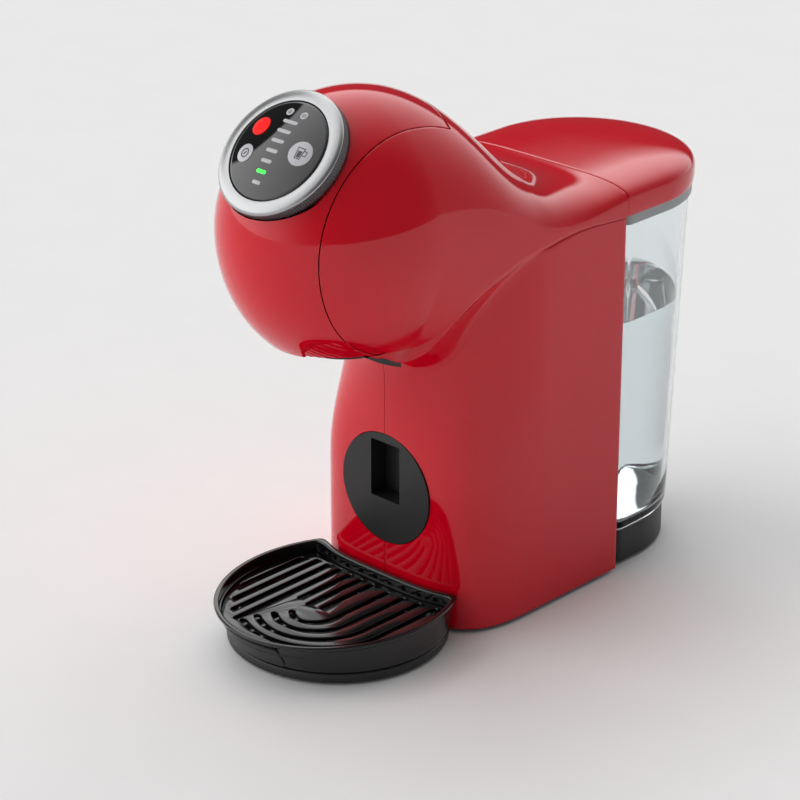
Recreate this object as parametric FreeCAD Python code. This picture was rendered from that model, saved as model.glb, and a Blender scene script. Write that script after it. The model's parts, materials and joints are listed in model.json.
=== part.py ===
import FreeCAD, Part
import math
import os

V = FreeCAD.Vector
X_AXIS = V(1, 0, 0)
Y_AXIS = V(0, 1, 0)
Z_AXIS = V(0, 0, 1)
FAR = 400.0                      # reach of cutting blocks, past every side of the machine

# ---- upper body: a ball-shaped head that runs back into a saddle-shaped neck
HEAD_HALF_WIDTH = 57.0
HEAD_Y = -73.0                   # centre of the head
HEAD_Z = 210.6
HEAD_DEPTH = 67.8                # half depth of the head
HEAD_RISE = 62.6                 # centre to crown
HEAD_DROP = 70.0                 # centre to underside
NECK_SLOPE = 0.75                # fall of the neck behind the crown
NECK_ARC = 75.0                  # radius that levels the neck out
NECK_LEVEL_Y = 56.0              # where the neck is level
NECK_END_Y = 58.9                # seam in front of the tank
NECK_TOP = 207.0
SHELL = 2.6                      # wall of the red shells
SKIRT_EDGE = [(-118, 151), (-100, 153.5), (-86, 157.6), (-70, 156.4), (-64.5, 160.5),
              (-60, 168.5), (-54, 175.8), (-42, 183.2), (-26, 188.4), (-9, 192),
              (25, 195), (64, 190.3)]     # lower edge of the upper shell (y, z)
FLARE_EDGE = [(-118, 146), (-84, 148), (-62, 149.5), (-44, 160), (-24, 174),
              (-2, 185), (25, 191.5), (64, 188.5)]      # lower edge of the flare under it

# ---- lifting handle: the middle band of the head
HANDLE_HALF = 33.4
SLOT_HALF = 34.0
REAR_R = 26.8                    # the band's rear edge is round about the hinge
REAR_GAP = 0.7
CHIN_Z = 157.5                   # flat underside of the band
HINGE_Y, HINGE_Z = -20.5, 240.5
PIN_R = 2.0
PIN_END = 23.6                   # half length of the hinge pin
RUN_FIT = 0.06                   # radial clearance of turning fits

# ---- dial and control panel, tilted back on the front of the head
DIAL_Y, DIAL_Z = -118.6, 255.1
DIAL_TILT = 44.8                 # degrees from flat
DIAL_R = 32.4
PANEL_R = 25.6
PANEL_DOME = 3.5
RING_DEPTH = 2.0
GRIP_DEPTH = 8.4
POWER_KEY = (-15.0, 8.0, 4.9)    # across, up, radius on the panel
RINSE_KEY = (-15.0, -6.5, 4.6)
CUP_KEY = (15.0, 0.8, 6.1)
BARS = 7
BAR_TOP = 13.6
BAR_STEP = 5.25

# ---- column
COL_HALF = 56.0
COL_Y = 5.2                      # centre of the rounded front
COL_BACK = 58.9
COL_SQUARE = 3.8                 # squareness of the front at the foot
COL_ROUND = 2.0                  # and under the head
TURN_LOW, TURN_HIGH = 70.0, 142.0
WALL = 2.5

# ---- tray
TRAY_Y = -83.9
RIM_A, RIM_B = 55.7, 63.6        # half sizes of the rim
FOOT_A, FOOT_B = 54.4, 54.2      # half sizes at the foot of the wall
RIM_Z = 23.0
TRAY_GAP = 3.0                   # between the tray's rear wall and the column
BAND_TOP = 6.4
SLOT = 3.2                       # width of the grid's slots

# ---- water tank
TANK_Y = 91.0                    # centre of its round back
TANK_R = 56.5
TANK_FLOOR = 20.0
TANK_TOP = 187.0
TANK_LEAN = 10.0                 # how far the back leans in at the floor
STAND_TOP = 19.4
DOCK_Y = 84.0
PIPE_Z = 13.5
CORD_Z = 10.0                    # mains cord's way in, at the back of the stand
FOOT_SPOTS = ((-38, -18), (38, -18), (-32, 108), (32, 108))


def box(x0, x1, y0, y1, z0, z1):
    return Part.makeBox(x1 - x0, y1 - y0, z1 - z0, V(x0, y0, z0))


def rod(radius, start, end):
    a, b = V(*start), V(*end)
    return Part.makeCylinder(radius, (b - a).Length, a, b - a)


def tube(outer, inner, start, end):
    return rod(outer, start, end).cut(rod(inner, start, end))


def mirrored(shape):
    return shape.mirror(V(0, 0, 0), X_AXIS)


def both_sides(shape):
    return shape.fuse(mirrored(shape))


def group(shapes):
    return Part.makeCompound(shapes)


def signed_power(value, power):
    return math.copysign(abs(value) ** power, value)


def eased(t):
    t = min(max(t, 0.0), 1.0)
    return t * t * (3 - 2 * t)


def between(y, marks):
    """Value at y, eased between (y, value) marks."""
    for (ya, va), (yb, vb) in zip(marks, marks[1:]):
        if y <= yb:
            return va + (vb - va) * eased((y - ya) / (yb - ya))
    return marks[-1][1]


def closed_spline(points):
    curve = Part.BSplineCurve()
    curve.interpolate(Points=points, PeriodicFlag=True)
    return Part.Wire([curve.toShape()])


def yz_block(points, drop=0.0):
    """Everything above a smooth line of (y, z) points, right across the machine."""
    line = Part.BSplineCurve()
    line.interpolate([V(-80, y, z - drop) for y, z in points])
    first, last = line.value(line.FirstParameter), line.value(line.LastParameter)
    outline = [last, V(-80, FAR, last.z), V(-80, FAR, FAR), V(-80, -FAR, FAR)]
    outline += [V(-80, -FAR, first.z), first]
    edges = [line.toShape()] + Part.makePolygon(outline).Edges
    return Part.Face(Part.Wire(edges)).extrude(V(160, 0, 0))


# ------------------------------------------------------------ upper body
def crown_line(y):
    """Height of the centre line of the head's back and the neck."""
    lean = NECK_SLOPE * HEAD_DEPTH / HEAD_RISE
    turn = lean / math.sqrt(1 + lean * lean)
    leave_y = HEAD_Y + HEAD_DEPTH * turn
    if y < leave_y:
        return HEAD_Z + HEAD_RISE * math.sqrt(1 - ((y - HEAD_Y) / HEAD_DEPTH) ** 2)
    leave_z = HEAD_Z + HEAD_RISE * math.sqrt(1 - turn * turn)
    straight = leave_z - NECK_SLOPE * (y - leave_y)
    angle = math.atan(NECK_SLOPE)
    level = NECK_TOP
    arc_y = NECK_LEVEL_Y - NECK_ARC * math.sin(angle)
    arc_z = leave_z - NECK_SLOPE * (arc_y - leave_y)
    sink = arc_z - NECK_ARC * (1 - math.cos(angle)) - level
    straight -= sink * eased((y - leave_y) / (arc_y - leave_y))
    if y < arc_y:
        return straight
    if y > NECK_LEVEL_Y:
        return level
    return level + NECK_ARC - math.sqrt(NECK_ARC ** 2 - (NECK_LEVEL_Y - y) ** 2)


def form_section(y, inset):
    """Closed cross-section of the upper body at y: two half superellipses."""
    if y < HEAD_Y:
        size = math.sqrt(1 - ((y - HEAD_Y) / HEAD_DEPTH) ** 2)
        width, rise, drop = HEAD_HALF_WIDTH * size, HEAD_RISE * size, HEAD_DROP * size
        middle, upper, lower = HEAD_Z, 2.0, 2.0
    else:
        middle = between(y, [(HEAD_Y, HEAD_Z), (-30, 206), (0, 197), (30, 195), (60, 196)])
        upper = between(y, [(HEAD_Y, 2.0), (-40, 1.95), (0, 1.88), (30, 2.05), (60, 4.0)])
        lower = between(y, [(HEAD_Y, 2.0), (-20, 3.5), (60, 4.0)])
        width = HEAD_HALF_WIDTH
        rise, drop = crown_line(y) - middle, HEAD_DROP
    count = 40
    points = []
    for i in range(count):
        angle = 2 * math.pi * (i + 0.5) / count
        power = 2 / (upper if math.sin(angle) > 0 else lower)
        tall = rise if math.sin(angle) > 0 else drop
        x = (width - inset) * signed_power(math.cos(angle), power)
        z = middle + (tall - inset) * signed_power(math.sin(angle), power)
        points.append(V(x, y, z))
    return closed_spline(points)


def upper_form(inset=0.0, end_y=NECK_END_Y):
    """The solid inside the upper body's skin, set in by the given wall."""
    nose = [HEAD_Y - (HEAD_DEPTH - inset) * math.sin(math.radians(a))
            for a in (80, 70, 58, 45, 30, 15)]
    stations = nose + [HEAD_Y, -60, -47, -34, -20, -6, 8, 22, 36, 48, end_y]
    wires = [form_section(HEAD_Y + (y - HEAD_Y) * HEAD_DEPTH / (HEAD_DEPTH - inset)
                          if y < HEAD_Y else y, inset) for y in stations]
    for wire, y in zip(wires, stations):
        wire.translate(V(0, y - wire.Vertexes[0].Y, 0))
    return Part.makeLoft(wires, True, False)


def band_space(half, rear_radius):
    """Room of the band that lifts: a tall block with its rear rounded about the hinge."""
    round_rear = rod(rear_radius, (-half, HINGE_Y, HINGE_Z), (half, HINGE_Y, HINGE_Z))
    return box(-half, half, -200, HINGE_Y, 120, 320).cut(round_rear)


def upper_shell():
    skin = upper_form().cut(upper_form(SHELL, NECK_END_Y + 4))
    skin = skin.common(yz_block(SKIRT_EDGE))
    return skin.cut(band_space(SLOT_HALF, REAR_R - REAR_GAP))


def head_side_plate():
    """Inner wall that closes one cheek of the head, on the right."""
    plate = upper_form(3.4).common(box(34.6, 36.8, -150, -30, 120, 300))
    plate = plate.common(yz_block(SKIRT_EDGE, -1.5))
    return plate.cut(rod(2.6, (20, HINGE_Y, HINGE_Z), (50, HINGE_Y, HINGE_Z)))


def hinge_bracket():
    """Two lugs under the neck that hold the handle's pin."""
    lug = rod(5.2, (20, HINGE_Y, HINGE_Z), (PIN_END, HINGE_Y, HINGE_Z))
    lug = lug.fuse(box(20, PIN_END, -22, -5, 228, 252))
    bridge = box(-PIN_END, PIN_END, -9, -5, 226, 250)
    whole = both_sides(lug).fuse(bridge).common(upper_form(SHELL + 0.4))
    return whole.cut(rod(PIN_R + 0.01, (-40, HINGE_Y, HINGE_Z), (40, HINGE_Y, HINGE_Z)))


def hinge_pin():
    return rod(PIN_R, (-PIN_END, HINGE_Y, HINGE_Z), (PIN_END, HINGE_Y, HINGE_Z))


# ------------------------------------------------------------ column
def column_wire(z, inset, back):
    """Outline of the column at one height: flat back, straight sides, rounded front."""
    square = COL_SQUARE if z <= TURN_LOW else COL_ROUND
    half = COL_HALF - inset
    points = []
    for i in range(25):
        angle = math.pi * i / 24
        x = half * signed_power(math.cos(angle), 2 / square)
        y = COL_Y - half * abs(math.sin(angle)) ** (2 / square)
        points.append(V(x, y, z))
    front = Part.BSplineCurve()
    front.interpolate(Points=points, InitialTangent=V(0, -1, 0), FinalTangent=V(0, 1, 0))
    right, left = V(half, back, z), V(-half, back, z)
    edges = [front.toShape(), Part.makeLine(points[-1], left)]
    edges += [Part.makeLine(left, right), Part.makeLine(right, points[0])]
    return Part.Wire(edges)


def column_form(inset, low, high, back=COL_BACK):
    """Solid column: square-shouldered below, turning to a round front under the head."""
    heights = [low, TURN_LOW, TURN_HIGH, high]
    wires = [column_wire(z, inset, back) for z in heights]
    return Part.makeLoft(wires, True, True)


def column_shells():
    """Left and right halves of the column, with the flare that carries the head."""
    above = yz_block(SKIRT_EDGE, 0.3)
    flare = upper_form(1.6, COL_BACK).cut(above).common(yz_block(FLARE_EDGE))
    flare = flare.cut(upper_form(1.6 + WALL, COL_BACK + 4))
    body = column_form(0, 2, 205).cut(above)
    whole = body.fuse(flare)
    whole = whole.cut(column_form(WALL, 0, 207, COL_BACK + 3))
    whole = whole.cut(box(-SLOT_HALF, SLOT_HALF, -160, -53.5, 100, 300))
    whole = whole.cut(box(-SLOT_HALF, SLOT_HALF, -54, -46, 145.6, 300))
    whole = whole.cut(rod(28.9, (0, -60, 66), (0, -40, 66)))
    right = whole.common(box(0.1, 90, -150, 90, 0, 300))
    left = whole.common(box(-90, -0.1, -150, 90, 0, 300))
    return left, right


def hook_socket():
    """Round black insert in the column's front, with the pocket that takes the tray's hook."""
    disc = rod(28.6, (0, -50.6, 66), (0, -41, 66))
    disc = disc.cut(rod(26.2, (0, -48, 66), (0, -40, 66)))
    pocket = box(-11.5, 11.5, -50, -38, 56, 94)
    disc = disc.fuse(pocket.common(rod(28.6, (0, -50.6, 66), (0, -38, 66))))
    return disc.cut(box(-9.5, 9.5, -55, -40, 60, 90))


def back_panel():
    """Wall between the machinery and the tank."""
    wall = box(-51.9, 51.9, 56.0, 58.6, 9.3, 189)
    upper = upper_form(SHELL + 2.2).common(box(-60, 60, 56.0, 58.6, 188, 230))
    wall = wall.fuse(upper)
    return wall.cut(rod(3.9, (0, 50, 13.5), (0, 62, 13.5)))


def base_plate():
    """Floor pan of the column, with the hollow stand behind it that carries the tank."""
    pan = Part.Face(column_wire(2, WALL + 0.2, 57)).extrude(V(0, 0, 3))
    stand = Part.Face(tank_plan(2, -1.5, TANK_LEAN)).extrude(V(0, 0, STAND_TOP - 2))
    pocket = Part.Face(tank_plan(5, -4.0, TANK_LEAN)).extrude(V(0, 0, 30))
    plate = stand.fuse(box(-44, 44, 56, 66, 2, 9.2)).cut(pocket)
    plate = plate.fuse(pan).fuse(box(-44, 44, 50, 60.5, 2, 9.2))
    plate = plate.cut(rod(4.1, (0, 55, PIPE_Z), (0, 70, PIPE_Z)))
    plate = plate.cut(rod(3.2, (0, 120, CORD_Z), (0, 140, CORD_Z)))
    plate = plate.cut(rod(1.8, (26, 45, 6.9), (26, 70, 6.9)))
    for x, y in FOOT_SPOTS:
        plate = plate.cut(rod(3.0, (x, y, 0), (x, y, 4)))
    return plate


def rubber_feet():
    feet = []
    for x, y in FOOT_SPOTS:
        pad = rod(7, (x, y, 0), (x, y, 2)).fuse(rod(2.9, (x, y, 1), (x, y, 4)))
        feet.append(pad)
    return group(feet)


def cord_gland():
    """Grommet at the back of the stand, where the mains cord goes in."""
    sleeve = tube(3.1, 2.2, (0, 128, CORD_Z), (0, 134, CORD_Z))
    collar = tube(4.8, 2.2, (0, 133.9, CORD_Z), (0, 137, CORD_Z))
    return sleeve.fuse(collar)


# ------------------------------------------------------------ lifting handle
def handle_shell():
    band = band_space(HANDLE_HALF, REAR_R)
    skin = upper_form().cut(upper_form(SHELL))
    edges = upper_form().cut(upper_form(8)).common(both_sides(box(31.4, 34, -160, 0, 182, 300)))
    lip = upper_form().common(box(-34, 34, -160, -108.5, CHIN_Z, CHIN_Z + 2.4))
    shell = skin.fuse(edges).fuse(lip).common(band)
    shell = shell.common(box(-40, 40, -160, 0, CHIN_Z, 300))
    shell = shell.cut(on_panel(rod(30.6, (0, 0, -40), (0, 0, 30))))
    return shell.cut(on_panel(rod(DIAL_R + 0.4, (0, 0, -GRIP_DEPTH - 0.5), (0, 0, 30))))


def handle_frame():
    """Two cranked arms that reach back under the neck to the hinge pin."""
    arm = rod(3.2, (15, HINGE_Y, HINGE_Z), (19, HINGE_Y, HINGE_Z))
    arm = arm.fuse(box(15, 19, -57, HINGE_Y, 234, HINGE_Z - 1.5))
    arm = arm.fuse(box(15, 19, -57, -51, 234, 275))
    cross = box(-19, 19, -57, -54.5, 234, 275)
    whole = both_sides(arm).fuse(cross).common(upper_form(SHELL + 0.1))
    return whole.cut(rod(PIN_R + RUN_FIT, (-40, HINGE_Y, HINGE_Z), (40, HINGE_Y, HINGE_Z)))


def on_panel(shape):
    """Moves a shape from the panel's own frame (across, up, out) onto the head."""
    placed = shape.copy()
    placed.rotate(V(0, 0, 0), X_AXIS, DIAL_TILT)
    placed.translate(V(0, DIAL_Y, DIAL_Z))
    return placed


def dial_seat():
    """Collar on the handle that the dial turns around."""
    hub = tube(29.2, 26.6, (0, 0, -20), (0, 0, -2.4))
    flange = tube(30.5, 26.6, (0, 0, -20), (0, 0, -GRIP_DEPTH - 0.3))
    ledge = tube(29.2, 23.5, (0, 0, -6), (0, 0, -3.6))
    return on_panel(hub.fuse(flange).fuse(ledge))


def dial_ring():
    """Bevelled metal face of the dial."""
    outline = [V(PANEL_R + 0.3, 0, -RING_DEPTH), V(DIAL_R, 0, -RING_DEPTH)]
    outline += [V(DIAL_R, 0, -1.3), V(DIAL_R - 1.0, 0, -0.4), V(PANEL_R + 0.6, 0, 0.2)]
    outline += [V(PANEL_R + 0.3, 0, -0.1), outline[0]]
    face = Part.Face(Part.makePolygon(outline))
    return on_panel(face.revolve(V(0, 0, 0), Z_AXIS, 360))


def dial_grip():
    """Ribbed side of the dial, running on the seat's hub."""
    grip = tube(DIAL_R - 0.3, 29.2 + RUN_FIT, (0, 0, -GRIP_DEPTH), (0, 0, -RING_DEPTH))
    ribs = 72
    for i in range(ribs):
        rib = box(DIAL_R - 0.6, DIAL_R, -0.5, 0.5, -GRIP_DEPTH + 0.6, -RING_DEPTH - 0.4)
        rib.rotate(V(0, 0, 0), Z_AXIS, 360.0 * i / ribs)
        grip = grip.fuse(rib)
    return on_panel(grip)


def panel_blank(radius, low, extra=0.0):
    """Disc whose top is the panel's shallow dome."""
    ball = (PANEL_R ** 2 + PANEL_DOME ** 2) / (2 * PANEL_DOME)
    dome = Part.makeSphere(ball + extra, V(0, 0, PANEL_DOME - ball))
    return rod(radius, (0, 0, low), (0, 0, 10)).common(dome)


def control_panel():
    panel = panel_blank(PANEL_R, -3.4).cut(panel_blank(PANEL_R - 2, -5, -2.4))
    for across, up, radius in (POWER_KEY, RINSE_KEY, CUP_KEY):
        panel = panel.cut(rod(radius + 0.25, (across, up, -10), (across, up, 10)))
    for bar in bar_blanks(0.05, -10):
        panel = panel.cut(bar)
    for lamp in lamp_blanks(0.05, -10):
        panel = panel.cut(lamp)
    return on_panel(panel)


def key(place):
    """Push key: a cap in the panel's surface on a stem that reaches the switch."""
    across, up, radius = place
    cap = rod(radius, (across, up, -2.6), (across, up, 10)).common(panel_blank(PANEL_R, -5, 0.15))
    return on_panel(cap.fuse(rod(1.6, (across, up, -7.2), (across, up, -2.0))))


def bar_blanks(grow, low):
    """The column of level bars, widest at the top."""
    blanks = []
    for i in range(BARS):
        half = 4.5 - 0.33 * i + grow
        up = BAR_TOP - BAR_STEP * i
        blank = box(-half + 0.9, half - 0.9, up - 0.9 - grow, up + 0.9 + grow, low, 10)
        for side in (-1, 1):
            x = side * (half - 0.9)
            blank = blank.fuse(rod(0.9 + grow, (x, up, low), (x, up, 10)))
        blanks.append(blank)
    return blanks


def lamp_blanks(grow, low):
    return [rod(2.0 + grow, (x, 18.6, low), (x, 18.6, 10)) for x in (-4.4, 4.4)]


def level_bars():
    face = panel_blank(PANEL_R, -4, 0.05)
    return on_panel(group([bar.common(face) for bar in bar_blanks(0, -1.6)]))


def status_lamps():
    face = panel_blank(PANEL_R, -4, 0.05)
    return on_panel(group([lamp.common(face) for lamp in lamp_blanks(0, -1.6)]))


def control_board():
    """Round board behind the panel, with a switch under each key."""
    board = rod(24.5, (0, 0, -11), (0, 0, -9.4))
    for across, up, _ in (POWER_KEY, RINSE_KEY, CUP_KEY):
        board = board.fuse(box(across - 3, across + 3, up - 3, up + 3, -9.4, -8.2))
    return on_panel(board.common(rod(26.4, (0, 0, -20), (0, 0, 0))))


# ------------------------------------------------------------ pod bay and injector
POD_Y = -78.0
POD_R = 24.0
HOSE_R = 2.2
HOLDER_Z = 163.0
HEATER_Y = -20.0


def pod_bay():
    """Fixed guide for the pod holder: two side rails and a back wall."""
    lower = Part.Arc(V(27, -95, 156.8), V(27, -85.5, 151.2), V(27, -72, 145.2)).toShape()
    rest = [V(27, -72, 145.2), V(27, -72, 149.6), V(27, -50.2, 149.6), V(27, -50.2, 178)]
    rest += [V(27, -98, 178), V(27, -91, 168), V(27, -83, 160), V(27, -83, 157), V(27, -95, 156.8)]
    face = Part.Face(Part.Wire([lower] + Part.makePolygon(rest).Edges))
    rail = face.extrude(V(4.0, 0, 0)).cut(box(20, 28.8, -120, -53, 162.7, 190))
    rail = rail.fuse(box(31, 34.55, -84, -60, 166, 178))
    back = box(-31, 31, -53.2, -50.2, 149.6, 178)
    return both_sides(rail).fuse(back)


def pod_holder():
    """Sliding cup that carries the pod, with a finger grip at the front."""
    plate = rod(28.4, (0, POD_Y, HOLDER_Z), (0, POD_Y, HOLDER_Z + 3))
    plate = plate.fuse(box(-28.4, 28.4, POD_Y, -50, HOLDER_Z, HOLDER_Z + 3))
    plate = plate.common(box(-30, 30, -120, -54, HOLDER_Z, HOLDER_Z + 3))
    cup = rod(POD_R, (0, POD_Y, 152), (0, POD_Y, HOLDER_Z))
    grip = box(-12, 12, -106.2, -103.4, HOLDER_Z, 171)
    holder = plate.fuse(cup).fuse(grip)
    holder = holder.cut(rod(POD_R - 1.8, (0, POD_Y, 154), (0, POD_Y, 168)))
    return holder.cut(rod(8, (0, POD_Y, 150), (0, POD_Y, 160)))


def injector():
    """Plate that presses on the pod, on a hollow stem."""
    plate = rod(23, (0, POD_Y, 169), (0, POD_Y, 173)).fuse(rod(6, (0, POD_Y, 172), (0, POD_Y, 198)))
    plate = plate.cut(rod(1.25, (0, POD_Y, 160), (0, POD_Y, 200)))
    return plate


def injector_seal():
    return tube(22, 17.5, (0, POD_Y, 166.8), (0, POD_Y, 169))


def injector_needle():
    needle = rod(1.2, (0, POD_Y, 166), (0, POD_Y, 196))
    tip = Part.makeCone(0.3, 1.2, 1.6, V(0, POD_Y, 164.4), Z_AXIS)
    return needle.fuse(tip).cut(rod(0.5, (0, POD_Y, 166.5), (0, POD_Y, 200)))


def injector_guide():
    """Bridge between the head's side plates that the injector's stem slides in."""
    bridge = box(-34.55, 34.55, -92, -62, 184, 187)
    bridge = bridge.fuse(rod(9, (0, POD_Y, 182), (0, POD_Y, 194)))
    return bridge.cut(rod(6 + RUN_FIT, (0, POD_Y, 170), (0, POD_Y, 200)))


# ------------------------------------------------------------ machinery in the column
def chassis():
    """Inner frame: an upright with a shelf for the pump and one for the heater."""
    upright = box(-50, 44, 8, 11, 5, 176)
    low_shelf = box(-50, 36, 11, 54, 18, 21)
    high_shelf = box(-36, 36, -44, 8, 96, 99)
    foot = box(-50, 36, -6, 24, 5, 7.4)
    frame = upright.fuse(low_shelf).fuse(high_shelf).fuse(foot)
    frame = frame.common(column_form(WALL + 0.8, 0, 207, 55))
    frame = frame.cut(rod(7, (-20, 0, 84), (-20, 30, 84)))
    frame = frame.cut(rod(3.3, (22, 34, 10), (22, 34, 30)))
    return frame.cut(rod(6.5, (-20, HEATER_Y, 90), (-20, HEATER_Y, 110)))


def pump():
    """Vibration pump standing on the low shelf: coil block, nose and outlet."""
    block = box(-40, -8, 20, 50, 32, 66)
    nose = rod(11, (-24, 35, 66), (-24, 35, 84)).fuse(rod(5, (-24, 35, 84), (-24, 35, 98)))
    tail = rod(9, (-24, 35, 24.2), (-24, 35, 32))
    return block.fuse(nose).fuse(tail)


def pump_mounts():
    low = tube(13, 9, (-24, 35, 21), (-24, 35, 29))
    high = tube(15, 11, (-24, 35, 70), (-24, 35, 78))
    return group([low, high.fuse(box(-30, -18, 11, 21, 70, 78).cut(rod(11, (-24, 35, 60), (-24, 35, 90))))])


def flow_meter():
    body = rod(11, (22, 34, 21), (22, 34, 34)).fuse(rod(3, (22, 34, 34), (22, 34, 42)))
    return body.fuse(rod(3, (22, 34, 9), (22, 34, 21)))


def heater():
    """Aluminium heating block with its two water spigots."""
    block = rod(25, (0, HEATER_Y, 104), (0, HEATER_Y, 138))
    block = block.cut(rod(10, (0, HEATER_Y, 110), (0, HEATER_Y, 140)))
    inlet = rod(3.5, (-20, HEATER_Y, 90), (-20, HEATER_Y, 104))
    outlet = rod(3.5, (18, HEATER_Y, 138), (18, HEATER_Y, 148))
    return block.fuse(inlet).fuse(outlet)


def heater_bracket():
    cradle = tube(27.2, 25.05, (0, HEATER_Y, 99), (0, HEATER_Y, 108))
    return cradle.cut(rod(4.2, (-20, HEATER_Y, 80), (-20, HEATER_Y, 120)))


def thermal_cutout():
    body = rod(6, (0, HEATER_Y, 110), (0, HEATER_Y, 116))
    return body.fuse(box(-2.5, 2.5, HEATER_Y - 2, HEATER_Y + 2, 116, 121))


def hose(points, radius):
    """Flexible pipe along a route of (x, y, z) points with rounded corners."""
    corners = [V(*p) for p in points]
    edges = []
    start = corners[0]
    for before, corner, after in zip(corners, corners[1:], corners[2:]):
        reach = 0.45 * min((corner - before).Length, (after - corner).Length)
        into = (before - corner).normalize() * reach + corner
        out = (after - corner).normalize() * reach + corner
        edges.append(Part.makeLine(start, into))
        edges.append(rounded_corner(into, corner, out))
        start = out
    edges.append(Part.makeLine(start, corners[-1]))
    path = Part.Wire(edges)
    aim = corners[1] - corners[0]
    ring = Part.Wire(Part.makeCircle(radius, corners[0], aim))
    return path.makePipeShell([ring], True, False)


def rounded_corner(into, corner, out):
    """Arc from one run to the next, tangent to both."""
    a, b = (into - corner), (out - corner)
    half_turn = a.getAngle(b) / 2
    middle = (a + b).normalize()
    centre = corner + middle * (a.Length / math.cos(half_turn))
    radius = a.Length * math.tan(half_turn)
    return Part.Arc(into, centre - middle * radius, out).toShape()


def suction_hose():
    return hose([(0, 53.8, PIPE_Z), (0, 42, PIPE_Z), (9, 34.5, 13), (18.9, 34, 13)], HOSE_R)


def feed_hose():
    return hose([(22, 34, 42.4), (22, 34, 62), (8, 34.5, 62), (4, 35, 48), (-7.6, 35, 48)], HOSE_R)


def pressure_hose():
    return hose([(-24, 35, 98.4), (-24, 35, 108), (-22, 20, 108), (-20, 20, 84),
                 (-20, HEATER_Y, 80), (-20, HEATER_Y, 89.6)], HOSE_R)


def brew_hose():
    return hose([(18, HEATER_Y, 148.4), (18, HEATER_Y, 164), (12, -28, 182), (4, -44, 202),
                 (0, -64, 208)], HOSE_R)


def main_board():
    board = box(44, 45.6, -18, 44, 34, 128)
    board = board.fuse(box(30, 44, -8, 6, 44, 64)).fuse(box(36, 44, 22, 38, 60, 84))
    return board.fuse(box(38, 44, -14, 6, 100, 110))


def chassis_screws():
    screws = []
    for x, y in ((-44, 0), (-44, 18), (30, 0), (30, 18)):
        head = rod(3.2, (x, y, 7.4), (x, y, 9.6))
        screws.append(head.cut(box(x - 0.4, x + 0.4, y - 3, y + 3, 8.8, 10)))
    return group(screws)


# ------------------------------------------------------------ water tank
def tank_plan(z, grow, rear_cut):
    """Outline of the tank: straight front and sides, round back."""
    half = TANK_R - 2.4 + grow
    front = 61.4 - grow
    centre = TANK_Y - rear_cut
    corner = 5.0
    a, b = V(-half, centre, z), V(half, centre, z)
    back = Part.Arc(b, V(0, centre + half, z), a).toShape()
    low_left, low_right = V(-half, front + corner, z), V(half, front + corner, z)
    left_in, right_in = V(-half + corner, front, z), V(half - corner, front, z)
    turn = corner * (1 - math.sqrt(0.5))
    left_arc = Part.Arc(low_left, V(-half + turn, front + turn, z), left_in).toShape()
    right_arc = Part.Arc(right_in, V(half - turn, front + turn, z), low_right).toShape()
    edges = [back, Part.makeLine(a, low_left), left_arc, Part.makeLine(left_in, right_in)]
    edges += [right_arc, Part.makeLine(low_right, b)]
    return Part.Wire(edges)


def tank_solid(grow, low, high):
    lean = TANK_LEAN / (TANK_TOP - TANK_FLOOR)
    return Part.makeLoft([tank_plan(z, grow, lean * (TANK_TOP - z)) for z in (low, high)], True, True)


def water_tank():
    body = tank_solid(0, TANK_FLOOR, TANK_TOP).cut(tank_solid(-2.2, TANK_FLOOR + 3, TANK_TOP + 5))
    return body.cut(rod(9.1, (0, DOCK_Y, 10), (0, DOCK_Y, 30)))


def tank_rim_band():
    """Soft grey band around the tank's mouth, under the lid."""
    band = tank_solid(1.3, 185.4, 190.2).cut(tank_solid(0.05, 180, TANK_TOP))
    return band.cut(tank_solid(-2.0, 186, 195))


def lid_profile(inset):
    """Half section of the lid, from the centre out: flat on top with a full round edge."""
    middle, rise, drop = 196.0, 11.0 - inset, 5.6
    half = TANK_R - inset
    points = []
    for i in range(13):
        angle = 0.5 * math.pi * i / 12.0
        out = half * math.sin(angle) ** 0.5
        points.append(V(out, 0, middle + rise * max(math.cos(angle), 0.0) ** 0.5))
    points[-1].z = middle
    upper = Part.BSplineCurve()
    upper.interpolate(Points=points, InitialTangent=V(1, 0, 0), FinalTangent=V(0, 0, -1))
    edge = points[-1]
    foot = V(half - 0.6, 0, middle - drop)
    centre_low = V(0, 0, middle - drop)
    edges = [upper.toShape(), Part.makeLine(edge, foot)]
    edges += [Part.makeLine(foot, centre_low), Part.makeLine(centre_low, points[0])]
    return Part.Face(Part.Wire(edges))


def lid_solid(inset, front):
    half = lid_profile(inset)
    back = half.revolve(V(0, 0, 0), Z_AXIS, 180)
    back.translate(V(0, TANK_Y, 0))
    right = half.extrude(V(0, -(TANK_Y - front), 0))
    right.translate(V(0, TANK_Y, 0))
    return back.fuse(right).fuse(mirrored(right))


def tank_lid():
    hollow = lid_solid(2.4, 59.7 + 2.4)
    hollow.translate(V(0, 0, -0.01))
    return lid_solid(0, 59.7).cut(hollow)


def tank_dock():
    """Socket in the stand that the tank's valve sits in, with its pipe to the pump."""
    well = rod(10.6, (0, DOCK_Y, 13.2), (0, DOCK_Y, 20))
    dock = rod(14, (0, DOCK_Y, 5), (0, DOCK_Y, 17.2))
    dock = dock.fuse(rod(3.7, (0, 54, PIPE_Z), (0, 74, PIPE_Z))).cut(well)
    dock = dock.fuse(rod(1.8, (0, DOCK_Y, 12), (0, DOCK_Y, 16.4)))
    return dock.cut(rod(2.2, (0, 50, PIPE_Z), (0, 76, PIPE_Z)))


def valve_housing():
    """Valve body in the tank's floor."""
    body = tube(9.0, 5.0, (0, DOCK_Y, 16.4), (0, DOCK_Y, 30))
    flange = tube(12, 5.0, (0, DOCK_Y, 23), (0, DOCK_Y, 25))
    floor = tube(6, 2.4, (0, DOCK_Y, 16.4), (0, DOCK_Y, 18.4))
    cap = tube(6, 1.9, (0, DOCK_Y, 29), (0, DOCK_Y, 31))
    return body.fuse(flange).fuse(floor).fuse(cap)


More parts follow.
